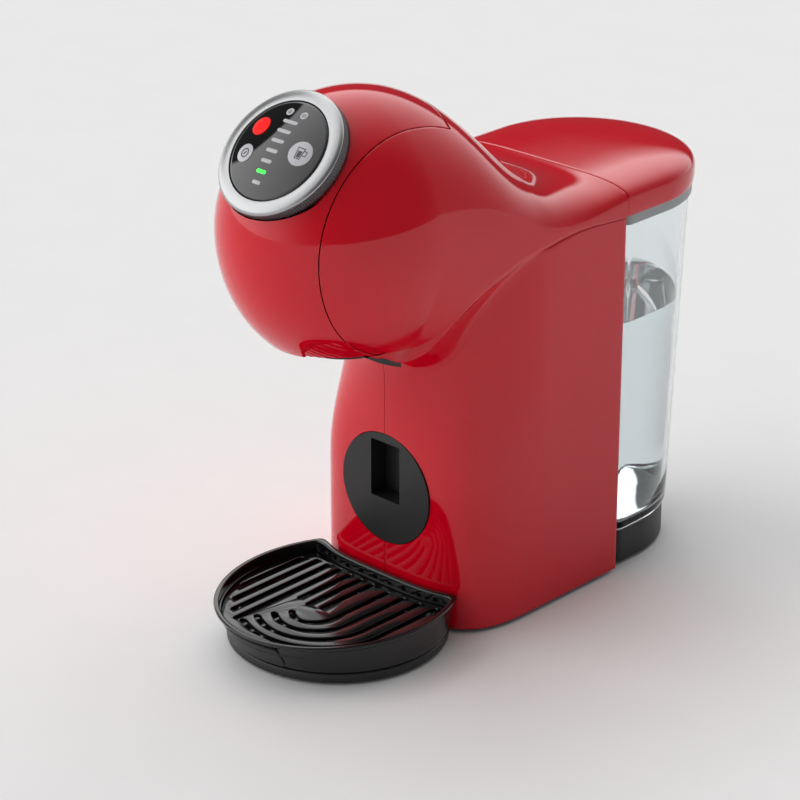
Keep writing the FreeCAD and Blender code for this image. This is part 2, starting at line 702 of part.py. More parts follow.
def valve_seal():
    return tube(10.4, 9.0, (0, DOCK_Y, 17.6), (0, DOCK_Y, 19.4))


def valve_plunger():
    stem = rod(1.8, (0, DOCK_Y, 16.7), (0, DOCK_Y, 33))
    return stem.fuse(rod(4.2, (0, DOCK_Y, 20.4), (0, DOCK_Y, 22.4)))


def valve_spring():
    """Coil spring that closes the valve, above the plunger's disc."""
    turns, wire, mean = 4, 0.35, 3.2
    low, high = 22.4 + wire + 0.1, 29.0 - wire - 0.1
    points = []
    for i in range(12 * turns + 1):
        angle = 2 * math.pi * i / 12
        rise = (high - low) * i / (12 * turns)
        points.append(V(mean * math.cos(angle), DOCK_Y + mean * math.sin(angle), low + rise))
    path = Part.BSplineCurve()
    path.interpolate(points)
    _, aim = path.getD1(path.FirstParameter)
    ring = Part.Wire(Part.makeCircle(wire, points[0], aim))
    return Part.Wire([path.toShape()]).makePipeShell([ring], True, False)


# ------------------------------------------------------------ tray
def oval(a, b, z0, z1, a2=None, b2=None):
    """Upright oval block about the tray's centre, straight or tapered."""
    wires = []
    for z, half_x, half_y in ((z0, a, b), (z1, a2 or a, b2 or b)):
        if half_y > half_x:
            ring = Part.Ellipse(V(0, TRAY_Y, z), half_y, half_x)
        else:
            ring = Part.Ellipse(V(0, TRAY_Y, z), half_x, half_y)
        edge = ring.toShape()
        if half_y > half_x:
            edge.rotate(V(0, TRAY_Y, z), Z_AXIS, 90)
        wires.append(Part.Wire([edge]))
    return Part.makeLoft(wires, True, True)


def column_clearance(gap):
    """Space the column takes out of the tray, grown by a gap."""
    points = []
    half = COL_HALF + gap
    for i in range(33):
        angle = math.pi * i / 32
        x = half * signed_power(math.cos(angle), 2 / COL_SQUARE)
        y = COL_Y - half * abs(math.sin(angle)) ** (2 / COL_SQUARE)
        points.append(V(x, y, -5))
    front = Part.BSplineCurve()
    front.interpolate(Points=points, InitialTangent=V(0, -1, 0), FinalTangent=V(0, 1, 0))
    right, left = V(half, 60, -5), V(-half, 60, -5)
    edges = [front.toShape(), Part.makeLine(points[-1], left)]
    edges += [Part.makeLine(left, right), Part.makeLine(right, points[0])]
    return Part.Face(Part.Wire(edges)).extrude(V(0, 0, 60))


def drip_tray():
    """Gloss bowl under the grid, with a flared rim and a hollow back."""
    wall = oval(FOOT_A, FOOT_B, BAND_TOP + 0.1, 21.4, RIM_A - 1.2, RIM_B - 2.0)
    rim = oval(RIM_A - 1.2, RIM_B - 2.0, 20.2, 21.8, RIM_A, RIM_B)
    rim = rim.fuse(oval(RIM_A, RIM_B, 21.8, RIM_Z))
    outer = wall.fuse(rim).cut(column_clearance(TRAY_GAP))
    floor_z = 8.4
    well = oval(FOOT_A - 3.6, FOOT_B - 4.0, floor_z, 14.2)
    mouth = oval(RIM_A - 3.6, RIM_B - 8.6, 14.2, 30, RIM_A - 3.0, RIM_B - 3.4)
    hollow = well.fuse(mouth).cut(column_clearance(TRAY_GAP + 2.4))
    return outer.cut(hollow)


def grid_slots():
    """Slot cutters: swept rounds at the front, and their twins at the back left."""
    cutters = []
    legs = ((11.5, 13.0), (21.0, 21.0), (30.5, 29.0), (40.0, 36.0))
    for across, ahead in legs:
        centre_y = -97.5
        cutters.append(quarter_slot(across, ahead, centre_y, (1, -1)))
        cutters.append(bar_slot(across, across, centre_y, -61.5 if across > 25 else -62.5))
        cutters.append(bar_slot(-0.6 * across, 0, centre_y - ahead, centre_y - ahead))
    for across, front in ((-23.0, -128.5), (-30.5, -123.0), (-38.0, -115.5), (-45.5, -103.0)):
        cutters.append(bar_slot(across, across, front, -91.0))
    for across in (-15.3, -7.6, 0.1):
        cutters.append(bar_slot(across, across, -94.0, -62.5))
    return cutters


def quarter_slot(across, ahead, centre_y, side):
    """Quarter of an oval ring, on the given side of its centre."""
    outer = oval_ring(across + SLOT / 2, ahead + SLOT / 2, centre_y)
    ring = outer.cut(oval_ring(across - SLOT / 2, ahead - SLOT / 2, centre_y))
    x0, x1 = sorted((0, side[0] * 100))
    y0, y1 = sorted((centre_y, centre_y + side[1] * 100))
    return ring.common(box(x0, x1, y0, y1, 0, 40))


def oval_ring(a, b, centre_y):
    block = Part.makeCylinder(1, 30, V(0, 0, 5), Z_AXIS)
    stretch = FreeCAD.Matrix()
    stretch.scale(a, b, 1)
    block = block.transformGeometry(stretch)
    block.translate(V(0, centre_y, 0))
    return block


def bar_slot(xa, xb, ya, yb):
    """Straight slot with round ends between two points."""
    half = SLOT / 2
    ends = rod(half, (xa, ya, 5), (xa, ya, 35)).fuse(rod(half, (xb, yb, 5), (xb, yb, 35)))
    if xa == xb:
        return ends.fuse(box(xa - half, xa + half, min(ya, yb), max(ya, yb), 5, 35))
    return ends.fuse(box(min(xa, xb), max(xa, xb), ya - half, ya + half, 5, 35))


def drip_grid():
    """Slotted plate that the cup stands on."""
    plate = oval(RIM_A - 4.2, RIM_B - 9.2, 14.4, 17.0).cut(column_clearance(TRAY_GAP + 3.0))
    inner = oval(RIM_A - 7.4, RIM_B - 12.6, 5, 35).cut(column_clearance(TRAY_GAP + 6.5))
    for cutter in grid_slots():
        plate = plate.cut(cutter.common(inner))
    return plate


def tray_carrier():
    """Matt base that the bowl drops into, with the front block for the name plate."""
    band = oval(FOOT_A + 1.6, FOOT_B + 0.8, 1.2, BAND_TOP, FOOT_A + 1.8, FOOT_B + 1.0)
    band = band.cut(column_clearance(TRAY_GAP - 1.0))
    band = band.cut(oval(FOOT_A - 7, FOOT_B - 7, 0, 4.0).cut(column_clearance(TRAY_GAP + 6)))
    front = oval(RIM_A, RIM_B - 0.9, 3.0, 18.4).common(box(-19, 19, -160, -130, 3, 18.4))
    bowl_space = oval(FOOT_A + 0.35, FOOT_B + 0.35, BAND_TOP, 21.4, RIM_A - 0.85, RIM_B - 1.65)
    return band.fuse(front.cut(bowl_space))


def front_plate():
    """Plain plate clipped on the front block."""
    plate = oval(RIM_A, RIM_B + 0.2, 4.4, 17.2).common(box(-17.6, 17.6, -160, -130, 4.4, 17.2))
    return plate.cut(oval(RIM_A, RIM_B - 0.9, 0, 30))


def carrier_feet():
    spots = [(-34, -108), (34, -108), (-43, -76), (43, -76), (0, -124)]
    return group([rod(3.2, (x, y, 0), (x, y, 1.2)) for x, y in spots])


def build():
    column_left, column_right = column_shells()
    side_plate = head_side_plate()
    return {
        "base_plate": base_plate(), "rubber_feet": rubber_feet(),
        "column_shell_left": column_left, "column_shell_right": column_right,
        "upper_shell": upper_shell(), "back_panel": back_panel(),
        "hook_socket": hook_socket(), "cord_gland": cord_gland(),
        "head_side_plate_right": side_plate, "head_side_plate_left": mirrored(side_plate),
        "hinge_bracket": hinge_bracket(), "hinge_pin": hinge_pin(),
        "pod_bay": pod_bay(), "injector_guide": injector_guide(),
        "chassis": chassis(), "chassis_screws": chassis_screws(),
        "pump": pump(), "pump_mounts": pump_mounts(), "flow_meter": flow_meter(),
        "heater": heater(), "heater_bracket": heater_bracket(), "thermal_cutout": thermal_cutout(),
        "suction_hose": suction_hose(), "feed_hose": feed_hose(),
        "pressure_hose": pressure_hose(), "brew_hose": brew_hose(),
        "main_board": main_board(), "tank_dock": tank_dock(),
        "handle_shell": handle_shell(), "handle_frame": handle_frame(),
        "dial_seat": dial_seat(), "control_panel": control_panel(),
        "level_bars": level_bars(), "status_lamps": status_lamps(),
        "control_board": control_board(), "dial_ring": dial_ring(), "dial_grip": dial_grip(),
        "power_key": key(POWER_KEY), "rinse_key": key(RINSE_KEY), "cup_key": key(CUP_KEY),
        "pod_holder": pod_holder(), "injector": injector(),
        "injector_seal": injector_seal(), "injector_needle": injector_needle(),
        "water_tank": water_tank(), "tank_rim_band": tank_rim_band(), "tank_lid": tank_lid(),
        "valve_housing": valve_housing(), "valve_seal": valve_seal(),
        "valve_plunger": valve_plunger(), "valve_spring": valve_spring(),
        "tray_carrier": tray_carrier(), "front_plate": front_plate(),
        "carrier_feet": carrier_feet(), "drip_tray": drip_tray(), "drip_grid": drip_grid(),
    }


os.makedirs("parts", exist_ok=True)
for name, shape in build().items():
    shape.exportStep("parts/" + name + ".step")
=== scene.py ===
import json
import math

import bmesh
import bpy
from mathutils import Matrix, Vector


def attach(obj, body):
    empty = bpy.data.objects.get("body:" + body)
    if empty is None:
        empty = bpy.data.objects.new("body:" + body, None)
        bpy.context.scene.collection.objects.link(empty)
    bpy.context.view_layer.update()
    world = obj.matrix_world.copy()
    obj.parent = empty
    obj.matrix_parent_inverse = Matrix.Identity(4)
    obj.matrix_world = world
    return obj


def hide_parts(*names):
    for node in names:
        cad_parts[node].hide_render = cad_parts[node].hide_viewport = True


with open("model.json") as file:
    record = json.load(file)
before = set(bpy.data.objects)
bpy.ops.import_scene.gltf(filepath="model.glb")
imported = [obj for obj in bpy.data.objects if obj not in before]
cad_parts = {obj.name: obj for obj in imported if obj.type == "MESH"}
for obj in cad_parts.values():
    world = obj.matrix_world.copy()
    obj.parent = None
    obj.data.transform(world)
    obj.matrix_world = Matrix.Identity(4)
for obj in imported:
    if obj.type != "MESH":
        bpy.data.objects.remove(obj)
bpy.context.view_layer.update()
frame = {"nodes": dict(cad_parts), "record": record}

MM = 0.001

# ---- upper body, millimetres
HALF_WIDTH = 57.0
HEAD_Y, HEAD_Z = -73.0, 210.6
HEAD_DEPTH, HEAD_RISE, HEAD_DROP = 67.8, 62.6, 70.0
NECK_SLOPE, NECK_ARC = 0.75, 75.0
NECK_LEVEL_Y, NECK_END_Y, NECK_TOP = 56.0, 58.9, 207.0
SHELL = 2.4                                # wall of the red shells
# lower edge of the cheeks, (y, height)
SKIRT = [(-118, 151), (-100, 153.5), (-86, 157.6), (-70, 156.4), (-64.5, 160.5), (-60, 168.5),
         (-54, 175.8), (-42, 183.2), (-26, 188.4), (-9, 192), (25, 195), (64, 190.3)]
# height of the lip under the cheeks' edge, (y, height)
LIP = [(-104, 0.3), (-97, 0.5), (-88, 2.2), (-78, 6.5), (-72, 7.6), (-64, 7.0), (-55, 5.5), (-42, 4.5),
       (-26, 3.6), (-9, 3.0), (8, 2.6), (60, 1.2)]
# where the column's wall turns out into its flare, (y, height)
CREASE = [(-50.9, 119.8), (-47.2, 127.8), (-40.3, 138.7), (-32.6, 152.1), (-22, 167.5), (-8, 181.5),
          (10, 188.6), (30, 191.4), (60, 189.6)]
# height of the widest line of the body behind the head, and how square it is above and below
MIDDLE = [(HEAD_Y, HEAD_Z), (-30, 206), (0, 197), (30, 195), (60, 196)]
SQUARE_ABOVE = [(HEAD_Y, 2.0), (-40, 1.95), (0, 1.9), (30, 2.3), (60, 4.0)]
SQUARE_BELOW = [(HEAD_Y, 2.0), (-20, 3.3), (60, 4.0)]
BAND_HALF, SLOT_HALF = 33.5, 33.9
HINGE_Y, HINGE_Z = -20.5, 240.5
BAND_REAR_R, SLOT_REAR_R = 26.9, 25.7      # rear edges of band and slot, round about the hinge
CHIN_Z = 157.5

# ---- dial
DIAL = (0.0, -118.6, 255.1)
DIAL_TILT = math.radians(44.8)
DIAL_R, PANEL_R, PANEL_DOME, GRIP_DEPTH = 32.4, 25.6, 3.5, 8.4

# ---- column, tray, tank
COL_HALF, COL_Y, COL_BACK = 56.0, 5.2, 58.9
COL_SQUARE, COL_ROUND = 3.8, 2.0           # plan of the column low down and high up
TURN_LOW, TURN_HIGH = 70.0, 142.0          # heights between which the plan turns round
COL_FOOT, COL_WALL = 2.2, 2.3
FLARE_START, FLARE_SIDE, FLARE_END = -16.0, -42.0, -74.0
FLARE_UNDER_X, FLARE_UNDER_Z = 30.0, 148.4
DISC_Z, DISC_HOLE_R = 66.0, 28.95          # round insert in the column's front
TRAY_Y = -83.9
TRAY_LOW, TRAY_HIGH = 7.2, 19.8            # the leaning part of the tray's wall
TANK_Y, TANK_R, TANK_TOP, TANK_FLOOR, TANK_LEAN = 91.0, 56.5, 187.0, 20.0, 10.0
TANK_FRONT, TANK_CORNER, TANK_WALL = 61.4, 5.0, 2.2
LID_FRONT, LID_SIDE_Z, LID_DOME, LID_SKIRT, LID_WALL = 59.7, 196.0, 11.0, 5.6, 2.3
WATER_TOP = 132.5


# ============================================================ small tools
def lerp(a, b, t):
    return a + (b - a) * t


def eased(t):
    t = min(max(t, 0.0), 1.0)
    return t * t * (3 - 2 * t)


def smooth_line(y, marks):
    """Value at y on a smooth curve through the marks."""
    if y <= marks[0][0]:
        return marks[0][1]
    last = len(marks) - 1
    for i in range(last):
        (ya, va), (yb, vb) = marks[i], marks[i + 1]
        if y <= yb:
            left, right = marks[max(i - 1, 0)], marks[min(i + 2, last)]
            slope_a = (vb - left[1]) / (yb - left[0])
            slope_b = (right[1] - va) / (right[0] - ya)
            t, step = (y - ya) / (yb - ya), yb - ya
            a = (1 + 2 * t) * (1 - t) ** 2 * va + t * (1 - t) ** 2 * step * slope_a
            return a + t * t * (3 - 2 * t) * vb + t * t * (t - 1) * step * slope_b
    return marks[last][1]


def mesh_piece(name, points, faces):
    mesh = bpy.data.meshes.new(name)
    mesh.from_pydata([tuple(c * MM for c in p) for p in points], [], faces)
    mesh.validate()
    piece = bpy.data.objects.new(name, mesh)
    bpy.context.scene.collection.objects.link(piece)
    return piece


def grid_faces(rows, columns, start=0, around=False):
    faces = []
    for i in range(rows - 1):
        for j in range(columns if around else columns - 1):
            k = (j + 1) % columns
            a, b = start + i * columns + j, start + i * columns + k
            faces.append((a, b, b + columns, a + columns))
    return faces


def skin(name, grids, around=False, outward=None, weld=0.02):
    """Surface through one or more grids of points, welded where they meet."""
    points, faces = [], []
    for grid in grids:
        start = len(points)
        for row in grid:
            points.extend(row)
        faces += grid_faces(len(grid), len(grid[0]), start, around)
    piece = mesh_piece(name, points, faces)
    work = bmesh.new()
    work.from_mesh(piece.data)
    bmesh.ops.remove_doubles(work, verts=work.verts, dist=weld * MM)
    bmesh.ops.recalc_face_normals(work, faces=work.faces)
    if outward is not None:
        work.faces.ensure_lookup_table()
        target, way = Vector(outward[0]) * MM, Vector(outward[1])
        nearest = min(work.faces, key=lambda f: (f.calc_center_median() - target).length)
        if nearest.normal.dot(way) < 0:
            bmesh.ops.reverse_faces(work, faces=work.faces)
    work.to_mesh(piece.data)
    work.free()
    return piece


def settle(piece):
    """Applies the piece's modifiers."""
    graph = bpy.context.evaluated_depsgraph_get()
    mesh = bpy.data.meshes.new_from_object(piece.evaluated_get(graph))
    piece.modifiers.clear()
    piece.data = mesh
    return piece


def thicken(piece, thickness, edge=0.45, segments=2):
    """Gives a skin its wall, inwards, and rounds the wall's edges."""
    solid = piece.modifiers.new("wall", "SOLIDIFY")
    solid.thickness = thickness * MM
    solid.offset = -1.0
    solid.use_even_offset = True
    solid.thickness_clamp = 1.0
    if edge:
        soften(piece, edge, segments)
    return settle(piece)


def soften(piece, edge, segments=2, angle=38.0):
    bevel = piece.modifiers.new("edge", "BEVEL")
    bevel.width = edge * MM
    bevel.segments = segments
    bevel.limit_method = "ANGLE"
    bevel.angle_limit = math.radians(angle)
    bevel.harden_normals = False


def smooth(piece, angle=40.0):
    mesh = piece.data
    mesh.shade_smooth()
    mesh.set_sharp_from_angle(angle=math.radians(angle))
    return piece


def finish(piece, body, slot, *nodes, angle=40.0):
    """Shades a piece, gives it its finish and puts it on its body."""
    smooth(piece, angle)
    piece.data.materials.clear()
    piece.data.materials.append(FINISHES[slot])
    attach(piece, body)
    if nodes:
        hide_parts(*nodes)
    return piece


def turned(name, profile, count=128, wave=0.0, waves=0):
    """Piece turned from (radius, height, ribbed) points; a wave ribs it where ribbed is 1."""
    rows = []
    for radius, height, ribbed in profile:
        row = []
        for j in range(count):
            angle = 2 * math.pi * j / count
            r = radius
            if ribbed and waves:
                r -= wave * (0.5 - 0.5 * math.cos(waves * angle))
            row.append((r * math.cos(angle), r * math.sin(angle), height))
        rows.append(row)
    return skin(name, [rows], around=True)


def flat_cut(name, outlines, low, high, edge=0.2):
    """Plate cut to closed outlines (holes included), with rounded edges."""
    data = bpy.data.curves.new(name, "CURVE")
    data.dimensions = "2D"
    data.fill_mode = "BOTH"
    for outline in outlines:
        line = data.splines.new("POLY")
        line.points.add(len(outline) - 1)
        for point, (x, y) in zip(line.points, outline):
            point.co = (x, y, 0, 1)
        line.use_cyclic_u = True
    data.extrude = (high - low) / 2 - edge
    data.bevel_depth = edge
    data.bevel_resolution = 1
    data.offset = -edge
    holder = bpy.data.objects.new(name + "_outline", data)
    bpy.context.scene.collection.objects.link(holder)
    graph = bpy.context.evaluated_depsgraph_get()
    mesh = bpy.data.meshes.new_from_object(holder.evaluated_get(graph))
    bpy.data.objects.remove(holder)
    mesh.transform(Matrix.Translation((0, 0, (low + high) / 2)))
    mesh.transform(Matrix.Scale(MM, 4))
    piece = bpy.data.objects.new(name, mesh)
    bpy.context.scene.collection.objects.link(piece)
    work = bmesh.new()
    work.from_mesh(mesh)
    bmesh.ops.remove_doubles(work, verts=work.verts, dist=0.001 * MM)
    bmesh.ops.recalc_face_normals(work, faces=work.faces)
    work.to_mesh(mesh)
    work.free()
    return piece


def circle(x, y, radius, count=48):
    angles = [2 * math.pi * i / count for i in range(count)]
    return [(x + radius * math.cos(angle), y + radius * math.sin(angle)) for angle in angles]


def stadium(path, width, ends=8):
    """Outline of a slot of even width along a path of (x, y) points, with round ends."""
    left, right = [], []
    for i, (x, y) in enumerate(path):
        x0, y0 = path[max(i - 1, 0)]
        x1, y1 = path[min(i + 1, len(path) - 1)]
        size = math.hypot(x1 - x0, y1 - y0)
        nx, ny = -(y1 - y0) / size * width / 2, (x1 - x0) / size * width / 2
        left.append((x + nx, y + ny))
        right.append((x - nx, y - ny))

    def cap(centre, start):
        cx, cy = centre
        angle = math.atan2(start[1] - cy, start[0] - cx)
        return [(cx + width / 2 * math.cos(angle - math.pi * k / ends),
                 cy + width / 2 * math.sin(angle - math.pi * k / ends)) for k in range(1, ends)]
    return left + cap(path[-1], left[-1]) + right[::-1] + cap(path[0], right[0])


def arc(cx, cy, rx, ry, start, end, count=24):
    out = []
    for i in range(count + 1):
        angle = math.radians(lerp(start, end, i / count))
        out.append((cx + rx * math.cos(angle), cy + ry * math.sin(angle)))
    return out


def subtract(piece, cutter):
    cut = piece.modifiers.new("cut", "BOOLEAN")
    cut.operation = "DIFFERENCE"
    cut.solver = "EXACT"
    cut.object = cutter
    settle(piece)
    bpy.data.objects.remove(cutter)
    return piece


PANEL_FRAME = Matrix.Translation(Vector(DIAL) * MM) @ Matrix.Rotation(DIAL_TILT, 4, "X")


def on_panel(piece):
    piece.data.transform(PANEL_FRAME)
    return piece


# ============================================================ colours and finishes
def tone(hex_code):
    """sRGB hex value to linear red, green, blue, alpha."""
    out = []
    for i in (0, 2, 4):
        c = int(hex_code[i:i + 2], 16) / 255
        out.append(c / 12.92 if c <= 0.04045 else ((c + 0.055) / 1.055) ** 2.4)
    return (*out, 1.0)


def add_node(tree, kind, settings=None, links=None):
    """Adds a node, sets its properties and sockets, and links (socket, other node, its output)."""
    node = tree.nodes.new(kind)
    for key, value in (settings or {}).items():
        if isinstance(key, str) and hasattr(node, key):
            setattr(node, key, value)
        else:
            node.inputs[key].default_value = value
    for socket, source, output in (links or []):
        tree.links.new(source.outputs[output], node.inputs[socket])
    return node


def surface(name, settings):
    """Material with a principled shader set from the settings; returns material, tree, shader."""
    material = bpy.data.materials.new(name)
    material.use_nodes = True
    tree = material.node_tree
    shader = tree.nodes["Principled BSDF"]
    for key, value in settings.items():
        shader.inputs[key].default_value = value
    return material, tree, shader


def moulded(name, low, high, roughness, spread, speck_mm, depth_mm, settings=None):
    """Moulded plastic or rubber: slight drift of colour and gloss, and the mould's own fine texture."""
    material, tree, shader = surface(name, dict(settings or {}))
    place = add_node(tree, "ShaderNodeTexCoord")
    drift = add_node(tree, "ShaderNodeTexNoise", {"Scale": 22.0, "Detail": 3.0},
                     [("Vector", place, "Object")])
    colour = add_node(tree, "ShaderNodeMix", {"data_type": "RGBA"}, [(0, drift, "Fac")])
    colour.inputs[6].default_value = tone(low)
    colour.inputs[7].default_value = tone(high)
    tree.links.new(colour.outputs[2], shader.inputs["Base Color"])
    gloss = add_node(tree, "ShaderNodeMapRange",
                     {"From Min": 0.3, "From Max": 0.7, "To Min": roughness - spread,
                      "To Max": roughness + spread}, [("Value", drift, "Fac")])
    tree.links.new(gloss.outputs[0], shader.inputs["Roughness"])
    grain = add_node(tree, "ShaderNodeTexNoise", {"Scale": 1.0 / (speck_mm * MM), "Detail": 2.0},
                     [("Vector", place, "Object")])
    relief = add_node(tree, "ShaderNodeBump", {"Strength": 1.0, "Distance": depth_mm * MM},
                      [("Height", grain, "Fac")])
    tree.links.new(relief.outputs[0], shader.inputs["Normal"])
    return material


# Gloss red ABS from a polished mould: deep even red under a mirror-like skin, with the faintest
# orange peel about 9 mm across.
red_abs = moulded("moulded_gloss_red_abs", "D2001C", "D8001F", 0.06, 0.01, 9.0, 0.004, {"IOR": 1.5})
# The same resin inside the shells, unpolished: flat, slightly darker red.
red_inner = moulded("moulded_matt_red_abs", "6E0A12", "7C0C16", 0.45, 0.05, 0.8, 0.02,
                    {"IOR": 1.5})
# Gloss black ABS of the tray: polished, with light wear in the gloss from cups set down.
black_abs = moulded("moulded_gloss_black_abs", "0A0A0B", "101011", 0.12, 0.05, 7.0, 0.008,
                    {"IOR": 1.5})
# Matt black polypropylene: spark-eroded mould texture, grit about 0.35 mm, drawn 0.5 mm to show.
black_pp = moulded("spark_eroded_black_polypropylene", "161617", "1E1E1F", 0.42, 0.05, 0.5, 0.03,
                   {"IOR": 1.49})
# Glass-filled nylon of the inner frame: dull grey with short pale fibres under the skin.
nylon = moulded("glass_filled_grey_nylon", "45484C", "565A5E", 0.55, 0.06, 0.6, 0.03, {"IOR": 1.53})
# White acetal of the valve: milky, lets a little light in.
acetal = moulded("moulded_white_acetal", "CFCFCA", "DADAD6", 0.35, 0.05, 1.2, 0.01,
                 {"IOR": 1.48, "Subsurface Weight": 0.1})
# Soft grey thermoplastic rubber of the band round the tank's mouth: waxy, no sharp glints.
rim_rubber = moulded("overmoulded_grey_tpe", "9EA1A3", "A9ACAE", 0.5, 0.04, 0.7, 0.015,
                     {"IOR": 1.47})
# Cured silicone of hoses and seals: cloudy, slightly yellow.
silicone = moulded("cured_silicone", "BDB7A8", "C9C4B8", 0.4, 0.05, 1.5, 0.01,
                   {"IOR": 1.41, "Subsurface Weight": 0.15})
# Black rubber of the feet: dull, bloomed with a grey haze in patches.
foot_rubber = moulded("compression_moulded_rubber", "121212", "1C1C1C", 0.7, 0.08, 0.6, 0.04,
                      {"IOR": 1.52})
# Printed circuit board: green solder mask with the weave of the glass cloth, 0.6 mm, under it.
solder_mask = moulded("solder_mask_on_glass_epoxy", "164A28", "1E5A34", 0.3, 0.05, 0.6, 0.02,
                      {"IOR": 1.5})
# Panel lens: back-printed black acrylic, polished; nothing but reflections shows in it.
lens = moulded("polished_black_acrylic", "080809", "0B0B0D", 0.03, 0.008, 12.0, 0.003,
               {"IOR": 1.49, "Specular IOR Level": 0.8})
# Pale grey printed legends and unlit light guides under the lens.
print_grey = moulded("screen_printed_grey", "B9B9BE", "C6C6CB", 0.3, 0.04, 0.4, 0.004,
                     {"IOR": 1.49})
print_dark = moulded("screen_printed_charcoal", "3A3A3D", "444447", 0.35, 0.04, 0.4, 0.004,
                     {"IOR": 1.49})
# Power key: red translucent cap with its lamp on.
key_red = moulded("lit_red_polycarbonate", "D20804", "DC0A06", 0.35, 0.03, 2.0, 0.003,
                  {"IOR": 1.58, "Specular IOR Level": 0.15, "Emission Color": tone("FF0A04"),
                   "Emission Strength": 0.35})
# Lit level bar: green light guide.
bar_green = moulded("lit_green_light_guide", "2CE23C", "38F04A", 0.25, 0.03, 2.0, 0.003,
                    {"IOR": 1.49, "Emission Color": tone("35FF4A"), "Emission Strength": 1.1})


def turned_metal(name, low, high, roughness, line_mm, depth_mm):
    """Metal with fine marks from the tool or brush, running round or along it."""
    material, tree, shader = surface(name, {"Metallic": 1.0})
    place = add_node(tree, "ShaderNodeTexCoord")
    stretch = add_node(tree, "ShaderNodeMapping", {}, [("Vector", place, "Object")])
    stretch.inputs["Scale"].default_value = (0.25, 1.0, 1.0)
    marks = add_node(tree, "ShaderNodeTexNoise", {"Scale": 1.0 / (line_mm * MM), "Detail": 4.0},
                     [("Vector", stretch, "Vector")])
    colour = add_node(tree, "ShaderNodeMix", {"data_type": "RGBA"}, [(0, marks, "Fac")])
    colour.inputs[6].default_value = tone(low)
    colour.inputs[7].default_value = tone(high)
    tree.links.new(colour.outputs[2], shader.inputs["Base Color"])
    gloss = add_node(tree, "ShaderNodeMapRange",
                     {"To Min": roughness - 0.05, "To Max": roughness + 0.06},
                     [("Value", marks, "Fac")])
    tree.links.new(gloss.outputs[0], shader.inputs["Roughness"])
    relief = add_node(tree, "ShaderNodeBump", {"Strength": 1.0, "Distance": depth_mm * MM},
                      [("Height", marks, "Fac")])
    tree.links.new(relief.outputs[0], shader.inputs["Normal"])
    return material


# Satin chrome plating on the dial: bright, softened by bead blasting. The grit is near 0.15 mm and
# is drawn at 0.3 mm to show.
satin_chrome = turned_metal("satin_chrome_plating", "A0A1A2", "B8B9BA", 0.3, 0.3, 0.012)
# Knurled side of the dial: the same plating with painted shade; its colour is darkened all over to
# stand for the shadow the knurl holds.
knurl_chrome_painted_shade = turned_metal("knurled_chrome_with_painted_shade", "4E4E50", "6C6C6F", 0.34, 0.4, 0.01)
# Turned steel of pin, needle, screws, pump shell and spring.
steel = turned_metal("turned_stainless_steel", "A3A6A9", "B8BABC", 0.28, 0.4, 0.01)
# Gravity-cast aluminium of the heater: pale, grainy, no polish.
cast_aluminium = turned_metal("gravity_cast_aluminium", "9C9EA0", "B3B5B7", 0.45, 1.2, 0.05)

# Clear SAN of the water tank: polished, faintly cool, with slight mould flow in its gloss.
clear_san, tree, shader = surface("injection_moulded_clear_san", {
    "Base Color": tone("F4F8F9"), "IOR": 1.3, "Transmission Weight": 1.0,
    "Specular IOR Level": 0.5})
spot = add_node(tree, "ShaderNodeTexCoord")
flow = add_node(tree, "ShaderNodeTexNoise", {"Scale": 30.0, "Detail": 2.0},
                [("Vector", spot, "Object")])
haze = add_node(tree, "ShaderNodeMapRange", {"To Min": 0.01, "To Max": 0.06},
                [("Value", flow, "Fac")])
tree.links.new(haze.outputs[0], shader.inputs["Roughness"])

# Water in the tank: clear, with the least ripple on top.
water, tree, shader = surface("drinking_water", {
    "Base Color": tone("F2F7F8"), "IOR": 1.33, "Transmission Weight": 1.0})
spot = add_node(tree, "ShaderNodeTexCoord")
swell = add_node(tree, "ShaderNodeTexNoise", {"Scale": 40.0, "Detail": 1.0},
                 [("Vector", spot, "Object")])
calm = add_node(tree, "ShaderNodeMapRange", {"To Min": 0.0, "To Max": 0.02},
                [("Value", swell, "Fac")])
tree.links.new(calm.outputs[0], shader.inputs["Roughness"])

FINISHES = {
    "red_shell": red_abs, "red_inner": red_inner, "black_gloss": black_abs, "black_matte": black_pp,
    "dial_metal": satin_chrome, "panel_gloss": lens, "key_red": key_red, "key_white": print_grey,
    "bar_light": print_grey, "tank_clear": clear_san, "rim_grey": rim_rubber, "inner_white": acetal,
    "frame_grey": nylon, "steel": steel, "aluminium": cast_aluminium, "silicone": silicone,
    "rubber": foot_rubber, "board_green": solder_mask,
    "knurl": knurl_chrome_painted_shade, "legend": print_dark, "bar_green": bar_green, "water": water}

for part in frame["record"]["subparts"]:
    node = frame["nodes"][part["node"]]
    node.data.materials.clear()
    node.data.materials.append(FINISHES[part["material_slot"]])


# ============================================================ upper body
def crown_line(y):
    """Height of the centre line of the head's back and the neck."""
    lean = NECK_SLOPE * HEAD_DEPTH / HEAD_RISE
    turn = lean / math.sqrt(1 + lean * lean)
    leave_y = HEAD_Y + HEAD_DEPTH * turn
    if y < leave_y:
        return HEAD_Z + HEAD_RISE * math.sqrt(1 - ((y - HEAD_Y) / HEAD_DEPTH) ** 2)
    leave_z = HEAD_Z + HEAD_RISE * math.sqrt(1 - turn * turn)
    angle = math.atan(NECK_SLOPE)
    arc_y = NECK_LEVEL_Y - NECK_ARC * math.sin(angle)
    arc_z = leave_z - NECK_SLOPE * (arc_y - leave_y)
    sink = arc_z - NECK_ARC * (1 - math.cos(angle)) - NECK_TOP
    if y < arc_y:
        past = y - leave_y
        return leave_z - NECK_SLOPE * past - sink * eased(past / (arc_y - leave_y))
    if y > NECK_LEVEL_Y:
        return NECK_TOP
    return NECK_TOP + NECK_ARC - math.sqrt(NECK_ARC ** 2 - (NECK_LEVEL_Y - y) ** 2)


